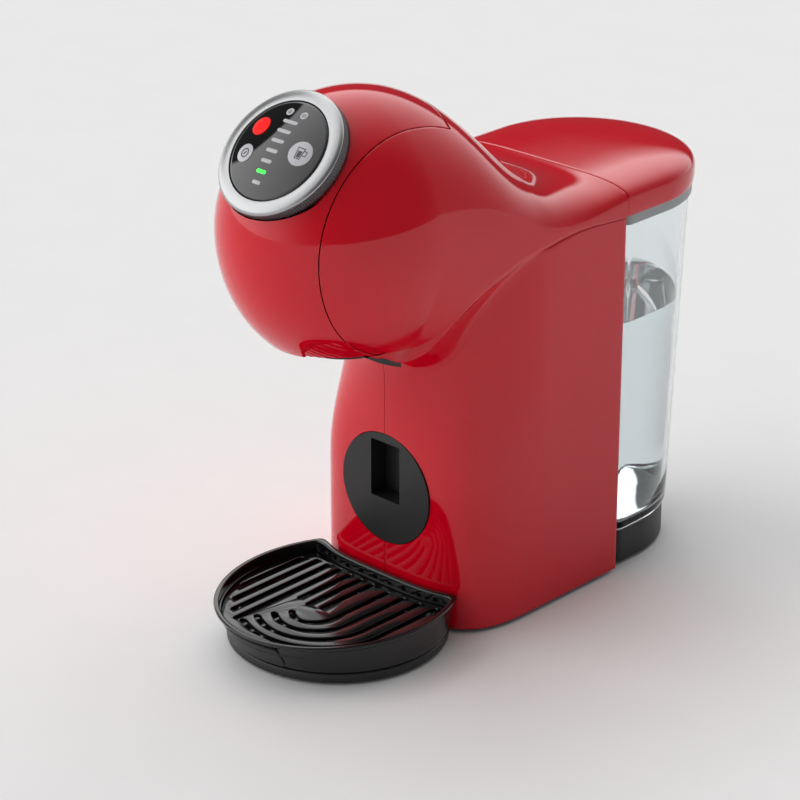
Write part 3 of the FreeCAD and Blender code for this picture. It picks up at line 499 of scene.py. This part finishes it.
def section(y, inset=0.0):
    """Half width, middle height, rise, drop and the two squareness powers of the body at y."""
    if y < HEAD_Y:
        size = math.sqrt(max(1 - ((y - HEAD_Y) / (HEAD_DEPTH - inset)) ** 2, 0.0))
        return ((HALF_WIDTH - inset) * size, HEAD_Z, (HEAD_RISE - inset) * size,
                (HEAD_DROP - inset) * size, 2.0, 2.0)
    middle = smooth_line(y, MIDDLE)
    rise = crown_line(y) - middle - inset
    return (HALF_WIDTH - inset, middle, rise, HEAD_DROP - inset,
            smooth_line(y, SQUARE_ABOVE), smooth_line(y, SQUARE_BELOW))


def top_height(x, y):
    """Height of the upper skin at (x, y)."""
    width, middle, rise, _, upper, _ = section(y)
    return middle + rise * max(1 - (abs(x) / width) ** upper, 0.0) ** (1 / upper)


def side_reach(y, z, inset=0.0):
    """Half width of the body at a height below its middle."""
    width, middle, _, drop, _, lower = section(y, inset)
    return width * max(1 - (max(middle - z, 0.0) / drop) ** lower, 0.0) ** (1 / lower)


def low_seam(y, x, inset=0.0):
    """Height of the underside at x."""
    width, middle, _, drop, _, lower = section(y, inset)
    if x >= width:
        return middle
    return middle - drop * (1 - (x / width) ** lower) ** (1 / lower)


def rear_arc(x, radius):
    """Where the skin at x lies at a radius in front of the hinge."""
    ahead, behind = -62.0, -26.0
    for _ in range(40):
        y = (ahead + behind) / 2
        if math.hypot(y - HINGE_Y, top_height(x, y) - HINGE_Z) > radius:
            ahead = y
        else:
            behind = y
    return (ahead + behind) / 2


def cheek_strip(y, inner_x, low_count=46, high_count=56):
    """Points across one side of the shell at y, from its lower edge up to inner_x on top."""
    width, middle, rise, _, upper, _ = section(y)
    low = max(smooth_line(y, SKIRT), low_seam(y, SLOT_HALF))
    row = []
    for i in range(low_count):
        z = lerp(low, middle, (i / low_count) ** 1.35)
        row.append(pressed_in((side_reach(y, z), y, z)))
    end = math.acos(min(inner_x / width, 1.0) ** (upper / 2))
    for i in range(high_count + 1):
        t = end * i / high_count
        x = width * math.cos(t) ** (2 / upper) if i < high_count else inner_x
        row.append((x, y, middle + rise * math.sin(t) ** (2 / upper)))
    return row


def cheek_grid():
    """One side of the shell: cheek, slot's edge about the hinge, and neck."""
    rows = []
    tip = math.acos(SLOT_HALF / HALF_WIDTH)
    count = 80
    for i in range(count):
        swing = tip * (1 - max(i / count, 0.004) ** 2)
        rows.append(cheek_strip(HEAD_Y - HEAD_DEPTH * math.sin(swing), SLOT_HALF))
    side_end = rear_arc(SLOT_HALF, SLOT_REAR_R)
    for i in range(24):
        rows.append(cheek_strip(lerp(HEAD_Y, side_end, i / 24), SLOT_HALF))
    for i in range(18):
        x = SLOT_HALF * (1 - i / 18)
        rows.append(cheek_strip(rear_arc(x, SLOT_REAR_R), x))
    for i in range(72):
        rows.append(cheek_strip(lerp(rear_arc(0.0, SLOT_REAR_R), NECK_END_Y, i / 71), 0.0))
    return rows


def other_side(grid):
    return [[(-x, y, z) for x, y, z in row] for row in grid]


def upper_shell():
    grid = cheek_grid()
    shell = skin("neck_and_cheeks", [grid, other_side(grid)],
                 outward=((56, -60, 200), (1, 0, 0)))
    thicken(shell, SHELL, 0.5, 2)
    return finish(shell, "machine", "red_shell", "upper_shell")


def band_grid():
    """Skin of the lifting band from its rear edge over the face to its turned-in chin."""
    rows = []
    columns = [lerp(-BAND_HALF, HOLD_FROM_X, i / 26) for i in range(26)]
    columns += [lerp(HOLD_FROM_X, BAND_HALF, i / 56) for i in range(57)]
    for i in range(30):
        row = []
        for x in columns:
            y = lerp(rear_arc(x, BAND_REAR_R), HEAD_Y, i / 30)
            row.append((x, y, top_height(x, y)))
        rows.append(row)
    coarse, fine = 84, 48                  # rows over the face, and closer ones at the finger hold
    for i in range(coarse + fine + 1):
        t = 0.8 * i / coarse if i < coarse else 0.8 + 0.2 * (i - coarse) / fine
        row = []
        for x in columns:
            size = math.sqrt(1 - (x / HALF_WIDTH) ** 2)
            chin = -math.asin((HEAD_Z - CHIN_Z) / (HEAD_DROP * size))
            swing = lerp(math.pi / 2, chin, t)
            reach = HEAD_RISE if swing > 0 else HEAD_DROP
            row.append(pressed_in((x, HEAD_Y - HEAD_DEPTH * size * math.cos(swing),
                                   HEAD_Z + reach * size * math.sin(swing)), True))
        rows.append(row)
    edge = rows[-1]
    for back, up in ((0.9, -0.05), (2.5, 0.0), (5.0, 0.0), (8.0, 0.0)):
        rows.append([(x * (1 - 0.001 * back), y + back, z + up) for x, y, z in edge])
    return rows


def disc_cutter(radius, low, high, count=160):
    """Round block square to the panel, between two heights over its seat."""
    rows = []
    for r, z in ((0.001, low), (radius, low), (radius, high), (0.001, high)):
        rows.append([(x, y, z) for x, y in circle(0, 0, r, count)])
    return on_panel(skin("cutter", [rows], around=True, weld=0.05))


# finger hold along the lower right edge: height of its upper line, by degrees round the head
HOLD = [(13.5, 155.0), (16.0, 161.0), (21.7, 166.4), (25.3, 169.0), (30.4, 170.6), (38, 170.9),
        (49.6, 167.2), (55.8, 164.6), (63.3, 161.0), (74, 156.0)]
HOLD_DEPTH, HOLD_TOP_Z, HOLD_FROM_X = 0.9, 175, 4
RIB_FROM, RIB_PITCH, RIB_HEIGHT, RIB_END_X = 2.2, 2.6, 0.2, 31.5


def head_normal(x, y, z):
    """Direction square to the head's skin."""
    reach = HEAD_RISE if z > HEAD_Z else HEAD_DROP
    n = Vector((x / HALF_WIDTH ** 2, (y - HEAD_Y) / HEAD_DEPTH ** 2, (z - HEAD_Z) / reach ** 2))
    return n.normalized()


def pressed_in(point, ribs=False):
    """Moves a point of the head's skin inwards where the finger hold is."""
    x, y, z = point
    if x <= 0 or z > HOLD_TOP_Z or y > HEAD_Y:
        return point
    turn = math.degrees(math.atan2(x, HEAD_Y - y))
    if not HOLD[0][0] < turn < HOLD[-1][0]:
        return point
    below = smooth_line(turn, HOLD) - z
    depth = HOLD_DEPTH * eased(below)
    if ribs and below > RIB_FROM:
        wave = math.cos(2 * math.pi * (x * 0.75 + z * 0.66) / RIB_PITCH)
        fade = eased((below - RIB_FROM) / 1.2), eased((RIB_END_X - x) / 1.5)
        depth -= RIB_HEIGHT * max(wave, 0.0) * fade[0] * fade[1]
    n = head_normal(x, y, z)
    return (x - n.x * depth, y - n.y * depth, z - n.z * depth)


def lifting_band():
    band = skin("lifting_band", [band_grid()], outward=((0, -73, 273), (0, 0, 1)))
    thicken(band, SHELL, 0.5, 2)
    subtract(band, disc_cutter(30.6, -30, 20))
    subtract(band, disc_cutter(DIAL_R + 0.4, -GRIP_DEPTH - 0.5, 20))
    return finish(band, "handle", "red_shell", "handle_shell")


upper_shell()
lifting_band()


# ============================================================ column with its flare
def outline_radius(angle, power):
    """Radius of the column's plan: a circle at power 2, squarer above it."""
    return COL_HALF / (abs(math.cos(angle)) ** power + abs(math.sin(angle)) ** power) ** (1 / power)


def column_point(angle, z):
    """Point on the column's front half; angle 0 is the side, a quarter turn the front."""
    turn = eased((z - TURN_LOW) / (TURN_HIGH - TURN_LOW))
    r = lerp(outline_radius(angle, COL_SQUARE), outline_radius(angle, COL_ROUND), turn)
    return r * math.cos(angle), COL_Y - r * math.sin(angle)


def column_half():
    """Right half: prismatic wall, concave flare, and the lip under the head's edge."""
    plan = []
    for i in range(26):
        plan.append(("side", lerp(COL_BACK, COL_Y, i / 26)))
    for i in range(71):
        plan.append(("front", lerp(0.0, math.pi / 2, i / 70)))
    wall_rows = [COL_FOOT, 2.6, 6, 14, 24, 34, 44, 54, 62] + [70 + 4 * i for i in range(13)]
    columns = []
    for kind, value in plan:
        column = []

        def at(z, kind=kind, value=value):
            if kind == "side":
                return COL_HALF, value
            x, y = column_point(value, z)
            return max(x, 0.15), y
        # the crease's height depends on the plan there, so it is closed in on from a guess
        crease = 130
        for _ in range(4):
            crease = smooth_line(at(crease)[1], CREASE)
        for z in wall_rows:
            z = COL_FOOT + (z - COL_FOOT) * (crease - COL_FOOT) / (wall_rows[-1] - COL_FOOT)
            x, y = at(z)
            column.append((x, y, z))
        cx, cy, _ = column[-1]
        # where the flare meets the lip
        under = cx < FLARE_UNDER_X
        if cy > FLARE_START:
            ly = cy
        elif not under:
            ly = lerp(FLARE_START, FLARE_END, ((FLARE_START - cy) / (FLARE_START - FLARE_SIDE)) ** 1.1)
        else:
            ly = lerp(-62, -72, min(cx / FLARE_UNDER_X, 1.0) ** 6)
        ly = max(ly, FLARE_END)
        skirt = smooth_line(ly, SKIRT) - 0.35
        lip = smooth_line(ly, LIP)
        edge_x = side_reach(ly, skirt) - 1.0
        if under:
            lx, lz = max(cx * 1.05, 0.15), FLARE_UNDER_Z
        else:
            lx, lz = edge_x - 0.25 * lip, skirt - lip
            lz = max(lz, crease + 0.4)
        for k in range(1, 15):
            t = k / 14
            kz = lerp(crease, lz, 0.8)
            x = (1 - t) ** 2 * cx + 2 * t * (1 - t) * cx + t * t * lx
            y = (1 - t) ** 2 * cy + 2 * t * (1 - t) * cy + t * t * ly
            z = (1 - t) ** 2 * crease + 2 * t * (1 - t) * kz + t * t * lz
            column.append((x, y, z))
        for k in range(1, 4):
            if under:
                column.append((lx, ly - 0.5 * k, lz + 0.25 * k))
            else:
                column.append((lerp(lx, edge_x, k / 3), ly, lerp(lz, skirt, k / 3)))
        columns.append(column)
    return columns


def column_piece(name, grid, node, side):
    """Half shell of the column with its share of the round hole for the insert."""
    shell = skin(name, [grid], outward=((56 * side, 30, 100), (side, 0, 0)), weld=0.005)
    thicken(shell, COL_WALL, 0.4, 2)
    subtract(shell, disc_hole())
    return finish(shell, "machine", "red_shell", node, angle=32)


def front_lip(name, side):
    """Lip under the front of a cheek, between its edge and the pod bay's rail."""
    rows = []
    for i in range(27):
        y = lerp(-104, -71.6, i / 26)
        top = max(smooth_line(y, SKIRT), low_seam(y, SLOT_HALF)) - 0.3
        lip = smooth_line(y, LIP)
        edge_x = side_reach(y, top) - 0.85
        inner_x = max(lerp(edge_x, 31.6, 0.8), 31.4)
        low_x = lerp(edge_x - 0.25 * lip, inner_x, eased((-75 - y) / 18))
        rows.append([(side * lerp(low_x, edge_x, k / 5), y, lerp(top - lip, top, k / 5))
                     for k in range(6)])
    strip = skin(name, [rows], outward=((34 * side, -80, 154), (side, 0, 0)))
    thicken(strip, 1.2, 0.25, 2)
    return finish(strip, "machine", "red_shell")


def disc_hole():
    rows = []
    for r, y in ((0.001, -62), (DISC_HOLE_R, -62), (DISC_HOLE_R, -36), (0.001, -36)):
        rows.append([(x, y, z) for x, z in circle(0, DISC_Z, r, 128)])
    return skin("cutter", [rows], around=True, weld=0.05)


half = column_half()
column_piece("column_right", half, "column_shell_right", 1)
column_piece("column_left", other_side(half), "column_shell_left", -1)
front_lip("front_lip_right", 1)
front_lip("front_lip_left", -1)


# ============================================================ water tank, lid, water
def lid_grid():
    """Lid: a low dome over a half round plan with a flat front, and its skirt."""
    profile = []
    for i in range(31):
        angle = 0.5 * math.pi * i / 30
        profile.append((TANK_R * math.sin(angle) ** 0.5,
                        LID_SIDE_Z + LID_DOME * max(math.cos(angle), 0.0) ** 0.5))
    profile[0] = (0.0, LID_SIDE_Z + LID_DOME)
    for k in range(1, 7):
        profile.append((TANK_R - 0.6 * (k / 6) ** 2, LID_SIDE_Z - LID_SKIRT * k / 6))
    rows = []
    for r, z in profile:
        row = []
        for i in range(20):
            row.append((-r, lerp(LID_FRONT, TANK_Y, i / 20), z))
        for i in range(73):
            angle = math.pi * (1 - i / 72)
            row.append((r * math.cos(angle), TANK_Y + r * math.sin(angle), z))
        for i in range(1, 21):
            row.append((r, lerp(TANK_Y, LID_FRONT, i / 20), z))
        rows.append(row)
    return rows


def tank_lid():
    lid = skin("tank_lid_shell", [lid_grid()], outward=((0, 91, 207), (0, 0, 1)))
    thicken(lid, LID_WALL, 0.5, 2)
    return finish(lid, "lid", "red_shell", "tank_lid")


def tank_plan(z, grow):
    """Closed plan of the tank at a height: flat front, round back that leans in below."""
    half_x = TANK_R - 2.4 + grow
    front, corner = TANK_FRONT - grow, TANK_CORNER + grow
    centre = TANK_Y - TANK_LEAN * (TANK_TOP - z) / (TANK_TOP - TANK_FLOOR)
    row = []
    for i in range(61):
        angle = math.pi * i / 60
        row.append((half_x * math.cos(angle), centre + half_x * math.sin(angle), z))
    for i in range(1, 7):
        row.append((-half_x, lerp(centre, front + corner, i / 7), z))
    for i in range(9):
        angle = 0.5 * math.pi * i / 8
        row.append((-half_x + corner - corner * math.cos(angle),
                    front + corner - corner * math.sin(angle), z))
    for i in range(1, 16):
        row.append((lerp(-half_x + corner, half_x - corner, i / 16), front, z))
    for i in range(9):
        angle = 0.5 * math.pi * (1 - i / 8)
        row.append((half_x - corner + corner * math.cos(angle),
                    front + corner - corner * math.sin(angle), z))
    for i in range(1, 7):
        row.append((half_x, lerp(front + corner, centre, i / 7), z))
    return row


def floor_rows(z, grow, count=8):
    """Rows that close a floor towards its middle."""
    edge = tank_plan(z, grow)
    rows = []
    for k in range(1, count + 1):
        t = k / count
        rows.append([(lerp(x, 0, t), lerp(y, 92, t), z) for x, y, _ in edge])
    return rows


def vessel(name, levels_out, levels_in=None):
    """Closed body from (height, growth of the plan) levels outside and, if hollow, inside."""
    rows = floor_rows(levels_out[0][0], levels_out[0][1])[::-1]
    rows += [tank_plan(z, grow) for z, grow in levels_out]
    if levels_in:
        rows += [tank_plan(z, grow) for z, grow in levels_in]
        rows += floor_rows(levels_in[-1][0], levels_in[-1][1])
    else:
        rows += floor_rows(levels_out[-1][0], levels_out[-1][1])
    return skin(name, [rows], around=True, weld=0.01)


tank_lid()
outer = [(TANK_FLOOR, -1.6), (20.3, -0.9), (21.0, -0.3), (22.0, 0.0)]
outer += [(lerp(22, 186.6, i / 16), 0.0) for i in range(1, 17)] + [(TANK_TOP, -0.4)]
inner = [(TANK_TOP, -1.8), (186.6, -TANK_WALL)]
inner += [(lerp(186.6, 25.5, i / 14), -TANK_WALL) for i in range(1, 15)]
inner += [(24.2, -2.8), (23.4, -3.8), (23.0, -5.2)]
finish(vessel("clear_tank", outer, inner), "tank", "tank_clear", "water_tank")
fill = [(23.3, -5.6), (23.7, -4.1), (24.5, -3.1), (25.8, -2.5)]
fill += [(lerp(25.8, WATER_TOP, i / 12), -2.45) for i in range(1, 13)] + [(WATER_TOP + 0.3, -2.3)]
finish(vessel("tank_water", fill), "tank", "water", angle=60)


# ============================================================ dial and panel
def dial():
    ring = [(PANEL_R + 0.3, -2.0, 0), (PANEL_R + 0.3, -0.15, 0), (PANEL_R + 0.5, 0.12, 0),
            (PANEL_R + 0.9, 0.2, 0), (DIAL_R - 1.25, -0.32, 0), (DIAL_R - 0.6, -0.8, 0),
            (DIAL_R - 0.15, -1.25, 0), (DIAL_R, -1.45, 0), (DIAL_R, -2.0, 0)]
    face = on_panel(turned("dial_bevel", ring + [ring[0]], 192))
    finish(face, "dial", "dial_metal", "dial_ring")
    side = [(29.4, -2.02, 0), (DIAL_R - 0.2, -2.02, 0), (DIAL_R, -2.3, 1), (DIAL_R, -4.0, 1),
            (DIAL_R, -6.0, 1), (DIAL_R - 0.05, -7.9, 1), (DIAL_R - 0.7, -8.35, 0),
            (29.4, -GRIP_DEPTH, 0)]
    grip = on_panel(turned("dial_knurl", side + [side[0]], 960, 0.42, 160))
    # the knurl finish is the dial's plating darkened with painted shade for the knurl's shadow
    finish(grip, "dial", "knurl", "dial_grip", angle=60)


PANEL_BALL = (PANEL_R ** 2 + PANEL_DOME ** 2) / (2 * PANEL_DOME)      # radius of the panel's dome


def dome_height(r):
    return PANEL_DOME - PANEL_BALL + math.sqrt(PANEL_BALL * PANEL_BALL - r * r)


def panel():
    profile = [(0.001, dome_height(0), 0)]
    for i in range(1, 25):
        r = (PANEL_R - 0.35) * i / 24
        profile.append((r, dome_height(r), 0))
    rim = dome_height(PANEL_R)
    profile += [(PANEL_R - 0.1, rim - 0.25, 0), (PANEL_R, rim - 0.7, 0),
                (PANEL_R, -2.2, 0), (0.001, -2.2, 0)]
    disc = on_panel(turned("panel_lens", profile, 160))
    finish(disc, "handle", "panel_gloss", "control_panel", angle=50)


def on_dome(piece, x, y, lift=0.0):
    """Sets a piece made about the origin on the panel's dome at (x, y)."""
    r = math.hypot(x, y)
    tilt = math.asin(min(r / PANEL_BALL, 1.0))
    axis = Vector((-y, x, 0)) if r > 0 else Vector((1, 0, 0))
    piece.data.transform(Matrix.Translation(Vector((x, y, dome_height(r) + lift)) * MM)
                         @ Matrix.Rotation(tilt, 4, axis.normalized()))
    return on_panel(piece)


def bar_outline(half, thick):
    return stadium([(-half + thick, 0), (0, 0), (half - thick, 0)], thick * 2, 10)


def legends():
    """Seven level bars, the one in use lit green, and two status lamps over them."""
    for i in range(7):
        bar = flat_cut(f"level_bar_{i + 1}", [bar_outline(4.5 - 0.33 * i, 0.9)], -0.3, 0.14, 0.1)
        on_dome(bar, 0, 13.6 - 5.25 * i)
        finish(bar, "handle", "bar_green" if i == 5 else "bar_light",
               *(["level_bars"] if i == 0 else []))
    for side, x in (("left", -4.4), ("right", 4.4)):
        lamp = flat_cut("status_lamp_" + side, [circle(0, 0, 2.0)], -0.3, 0.14, 0.1)
        on_dome(lamp, x, 18.6)
        finish(lamp, "handle", "bar_light", *(["status_lamps"] if side == "left" else []))
        mark = flat_cut("lamp_mark_" + side, [circle(0, 0, 0.95, 24), circle(0, 0, 0.6, 24)],
                        0.1, 0.2, 0.02)
        on_dome(mark, x, 18.6)
        finish(mark, "handle", "legend")


def key_cap(name, place, slot, node):
    x, y, radius = place
    cap = flat_cut(name, [circle(0, 0, radius, 72)], -1.6, 0.22, 0.18)
    on_dome(cap, x, y)
    return finish(cap, node, slot, node)


def legend(name, body, place, outlines):
    mark = flat_cut(name, outlines, 0.16, 0.27, 0.02)
    on_dome(mark, place[0], place[1])
    return finish(mark, body, "legend")


# keys on the panel: x, y, radius
POWER, RINSE, CUP = (-15.0, 8.0, 4.9), (-15.0, -6.5, 4.6), (15.0, 0.8, 6.1)


def keys():
    key_cap("power_cap", POWER, "key_red", "power_key")
    key_cap("rinse_cap", RINSE, "key_white", "rinse_key")
    key_cap("cup_cap", CUP, "key_white", "cup_key")
    legend("rinse_mark", "rinse_key", RINSE, [circle(0, 0, 2.4), circle(0, 0, 1.75)])
    legend("rinse_drop", "rinse_key", RINSE, [stadium([(-0.5, -0.6), (0, 0), (0.5, 0.6)], 0.8)])
    cup = [(-2.6, 2.9), (1.6, 2.9), (1.0, -2.9), (-2.0, -2.9)]
    hollow = [(-2.1, 2.45), (1.1, 2.45), (0.6, -2.45), (-1.6, -2.45)]
    legend("cup_line", "cup_key", CUP, [cup, hollow])
    drink = [(-1.65, 1.2), (0.65, 1.2), (0.3, -2.1), (-1.35, -2.1)]
    legend("cup_drink", "cup_key", CUP, [drink])
    ear = [(1.3, 1.6), (3.0, 1.6), (3.1, -0.6), (1.1, -0.6)]
    legend("cup_handle", "cup_key", CUP, [stadium(ear, 0.5)])


dial()
panel()
legends()
keys()


# ============================================================ tray
def tray_loop(a, b, gap, z, count=240):
    """Plan of the tray at one height: an oval with the column's front taken out of its back."""
    row = []
    half_gap = COL_HALF + gap
    for i in range(count):
        angle = 2 * math.pi * i / count
        dx, dy = math.cos(angle), math.sin(angle)
        reach = 1 / math.sqrt((dx / a) ** 2 + (dy / b) ** 2)
        if dy > 0:
            low, high = 0.0, reach

            def inside(t):
                x, y = t * dx, TRAY_Y + t * dy
                if y > COL_Y:
                    return True
                across, along = abs(x) / half_gap, (COL_Y - y) / half_gap
                return across ** COL_SQUARE + along ** COL_SQUARE < 1
            if inside(reach):
                for _ in range(30):
                    mid = (low + high) / 2
                    if inside(mid):
                        high = mid
                    else:
                        low = mid
                reach = low
        row.append((reach * dx, TRAY_Y + reach * dy, z))
    return row


def rounded(row, passes=2):
    """Eases the sharp tips of a closed row."""
    for _ in range(passes):
        count = len(row)
        row = [tuple((row[i - 1][c] + 2 * row[i][c] + row[(i + 1) % count][c]) / 4 for c in range(3))
               for i in range(count)]
    return row


def closed_block(rings):
    """Small block between a lower and an upper ring of corners."""
    low, high = rings
    count = len(low)
    faces = [tuple(range(count))[::-1], tuple(range(count, 2 * count))]
    faces += [(i, (i + 1) % count, count + (i + 1) % count, count + i) for i in range(count)]
    return mesh_piece("cutter", low + high, faces)


def tray_body():
    """Bowl of the tray from levels of height, half width, half depth and gap to the column."""
    under = [(6.6, 0.01, 0.01, 60), (6.6, 20, 20, 40), (6.6, 46, 46, 12)]
    foot = [(6.6, 53.2, 53.0, 4.2), (6.7, 54.0, 53.8, 3.4), (TRAY_LOW, 54.4, 54.3, 3.0)]
    wall = [(lerp(TRAY_LOW, TRAY_HIGH, i / 8), lerp(54.4, 54.5, i / 8), lerp(54.3, 61.2, i / 8), 3.0)
            for i in range(1, 9)]
    rim = [(20.3, 54.7, 61.7, 3.0), (20.9, 55.3, 62.6, 2.9), (21.6, 55.65, 63.3, 2.8),
           (22.3, 55.7, 63.6, 2.8), (22.8, 55.45, 63.35, 3.05), (23.0, 55.0, 62.9, 3.5),
           (23.0, 53.8, 61.6, 5.2), (22.8, 53.3, 61.1, 5.6), (22.2, 53.1, 60.9, 5.8)]
    ledge = [(18.0, 52.9, 60.4, 5.9), (17.9, 52.6, 60.1, 6.2), (15.2, 52.4, 59.8, 6.3),
             (15.0, 51.6, 58.9, 7.0), (14.2, 50.6, 56.0, 7.4)]
    floor = [(9.2, 49.6, 50.4, 8.2), (8.5, 48.6, 49.2, 9.2), (8.4, 46, 46, 12), (8.4, 36, 36, 24),
             (8.4, 20, 20, 40), (8.4, 6, 6, 60), (8.4, 0.01, 0.01, 60)]
    rows = [rounded(tray_loop(a, b, gap, z))
            for z, a, b, gap in under + foot + wall + rim + ledge + floor]
    bowl = skin("tray_bowl", [rows], around=True, weld=0.005)
    notch_space = COL_HALF + 6.2           # nine notches along the tray's rear wall
    for i in range(9):
        x = lerp(-38, 38, i / 8)
        y = COL_Y - notch_space * (1 - (abs(x) / notch_space) ** COL_SQUARE) ** (1 / COL_SQUARE)
        corners = ((-2.4, -1.4), (2.4, -1.4), (2.4, 1.7), (-2.4, 1.7))
        subtract(bowl, closed_block([[(x + dx, y + dy, z) for dx, dy in corners]
                                     for z in (18.7, 20.5)]))
    return finish(bowl, "drip_tray", "black_gloss", "drip_tray", angle=50)


def carrier():
    """Matt pan that the tray stands in."""
    levels = [(1.2, 0.01, 0.01, 60), (1.2, 40, 40, 14), (1.2, 52.6, 52.2, 4.4),
              (1.3, 53.6, 53.2, 3.6), (1.8, 54.2, 53.9, 3.0), (5.6, 54.4, 54.1, 3.0),
              (6.1, 54.1, 53.8, 3.3), (6.3, 53.4, 53.1, 4.0), (6.3, 40, 40, 20),
              (6.3, 0.01, 0.01, 60)]
    rows = [rounded(tray_loop(a, b, gap, z)) for z, a, b, gap in levels]
    pan = skin("carrier_pan", [rows], around=True, weld=0.005)
    return finish(pan, "tray_carrier", "black_matte", "tray_carrier", angle=50)


def wall_point(x, z, out):
    """Point on the tray's leaning front wall."""
    t = min(max((z - TRAY_LOW) / 12.6, -0.5), 1.0)
    a, b = lerp(54.4, 54.5, t) + out, lerp(54.3, 61.2, t) + out
    return (x, TRAY_Y - b * math.sqrt(1 - (x / a) ** 2), z)


def name_plate():
    """Blank plate on the front of the tray."""
    rows = []
    for i in range(9):
        z = lerp(7.6, 18.6, i / 8)
        inset = 1.2 * (abs(i - 4) / 4) ** 6
        half = 17.5 - inset
        rows.append([wall_point(lerp(-half, half, j / 30), z, 0.75) for j in range(31)])
    plate = skin("blank_front_plate", [rows], outward=((0, -142, 13), (0, -1, 0)))
    thicken(plate, 1.4, 0.35, 2)
    return finish(plate, "tray_carrier", "black_matte", "front_plate")


def grid_plate():
    """Grid that cups stand on: gloss, with slots that sweep round from the left to the back."""
    edge = [(x, y) for x, y, _ in rounded(tray_loop(52.0, 59.4, 6.6, 0))]
    slots = []
    for x, front in ((-45.5, -103), (-38, -116), (-30.5, -124), (-23, -129.5)):
        rear = -64 if abs(x) > 40 else -60
        slots.append([(x, front), (x, lerp(front, rear, 0.5)), (x, rear)])
    turn_y = -97.5
    for rx, ry, start, end_y in ((11.5, 13, -135, -62), (21, 21, -128, -61), (30.5, 29, -124, -60),
                                 (40, 36, -118, -58.5)):
        sweep = arc(0.0, turn_y, rx, ry, start, 0, 30)
        slots.append(sweep + [(rx, lerp(turn_y, end_y, 0.5)), (rx, end_y)])
    for x, front in ((-15.3, -94), (-7.6, -96), (0.1, -94)):
        slots.append([(x, front), (x, lerp(front, -60, 0.5)), (x, -61)])
    outlines = [edge] + [stadium(path, 3.2, 8) for path in slots]
    grid = flat_cut("cup_grid", outlines, 15.2, 17.2, 0.45)
    return finish(grid, "drip_grid", "black_gloss", "drip_grid", angle=50)


tray_body()
carrier()
name_plate()
grid_plate()


# ============================================================ stage
VIEW = Vector((0.632, -0.664, 0.400)).normalized()        # from the machine towards the camera
ASIDE = Vector((0.724, 0.689, 0.0)).normalized()          # level, to the camera's right
DIM_SIDE = VIEW * 0.819 + ASIDE * 0.574                   # the tent is dimmest this way
FLAG_WAY = (-0.87, 0.03, 0.49)                            # black flag that the panel's rim reflects
FLOOR_REACH = 7000


def floor_sheet():
    """Wide sheet of white paper under the machine."""
    rows = [[(x * FLOOR_REACH, y * FLOOR_REACH, 0) for x in (-1, 0, 1)] for y in (-1, 0, 1)]
    floor = skin("floor", [rows], outward=((0, 0, 0), (0, 0, 1)))
    # Matt white paper sweep: no gloss, the least mottling.
    paper = moulded("matt_paper_sweep", "F4F4F4", "F8F8F8", 0.9, 0.03, 3.0, 0.01,
                    {"Specular IOR Level": 0.1})
    floor.data.materials.append(paper)


def light_tent():
    """White tent, brighter on the far side, with its back left open and one black flag."""
    world = bpy.data.worlds.new("light_tent")
    bpy.context.scene.world = world
    world.use_nodes = True
    tree = world.node_tree
    place = add_node(tree, "ShaderNodeTexCoord")
    turn = add_node(tree, "ShaderNodeVectorMath", {"operation": "DOT_PRODUCT", 1: tuple(DIM_SIDE)},
                    [(0, place, "Generated")])
    glow = add_node(tree, "ShaderNodeMapRange",
                    {"interpolation_type": "SMOOTHSTEP", "From Min": -0.57, "From Max": 0.82,
                     "To Min": 2.1, "To Max": 0.17}, [("Value", turn, "Value")])
    back = add_node(tree, "ShaderNodeVectorMath", {"operation": "DOT_PRODUCT", 1: tuple(-VIEW)},
                    [(0, place, "Generated")])
    open_back = add_node(tree, "ShaderNodeMapRange",
                         {"From Min": 0.69, "From Max": 0.74, "To Min": 1.0, "To Max": 0.04},
                         [("Value", back, "Value")])
    flag = add_node(tree, "ShaderNodeVectorMath", {"operation": "DOT_PRODUCT", 1: FLAG_WAY},
                    [(0, place, "Generated")])
    black_flag = add_node(tree, "ShaderNodeMapRange",
                          {"From Min": 0.952, "From Max": 0.96, "To Min": 1.0, "To Max": 0.05},
                          [("Value", flag, "Value")])
    kept = add_node(tree, "ShaderNodeMath", {"operation": "MULTIPLY"},
                    [(0, glow, "Result"), (1, open_back, "Result")])
    level = add_node(tree, "ShaderNodeMath", {"operation": "MULTIPLY"},
                     [(0, kept, "Value"), (1, black_flag, "Result")])
    shade = tree.nodes["Background"]
    shade.inputs["Color"].default_value = (1, 1, 1, 1)
    tree.links.new(level.outputs[0], shade.inputs["Strength"])
    bpy.context.scene.view_settings.view_transform = "Standard"


def camera():
    """Long lens at the front right, looking down on the machine."""
    data = bpy.data.cameras.new("camera")
    data.lens = 135
    data.sensor_width = 36
    shooter = bpy.data.objects.new("camera", data)
    bpy.context.scene.collection.objects.link(shooter)
    place, aim = Vector((0.9127, -0.9993, 0.6868)), Vector((0, -0.0402, 0.1093))
    shooter.location = place
    shooter.rotation_euler = (aim - place).to_track_quat("-Z", "Y").to_euler()
    bpy.context.scene.camera = shooter


floor_sheet()
light_tent()
camera()
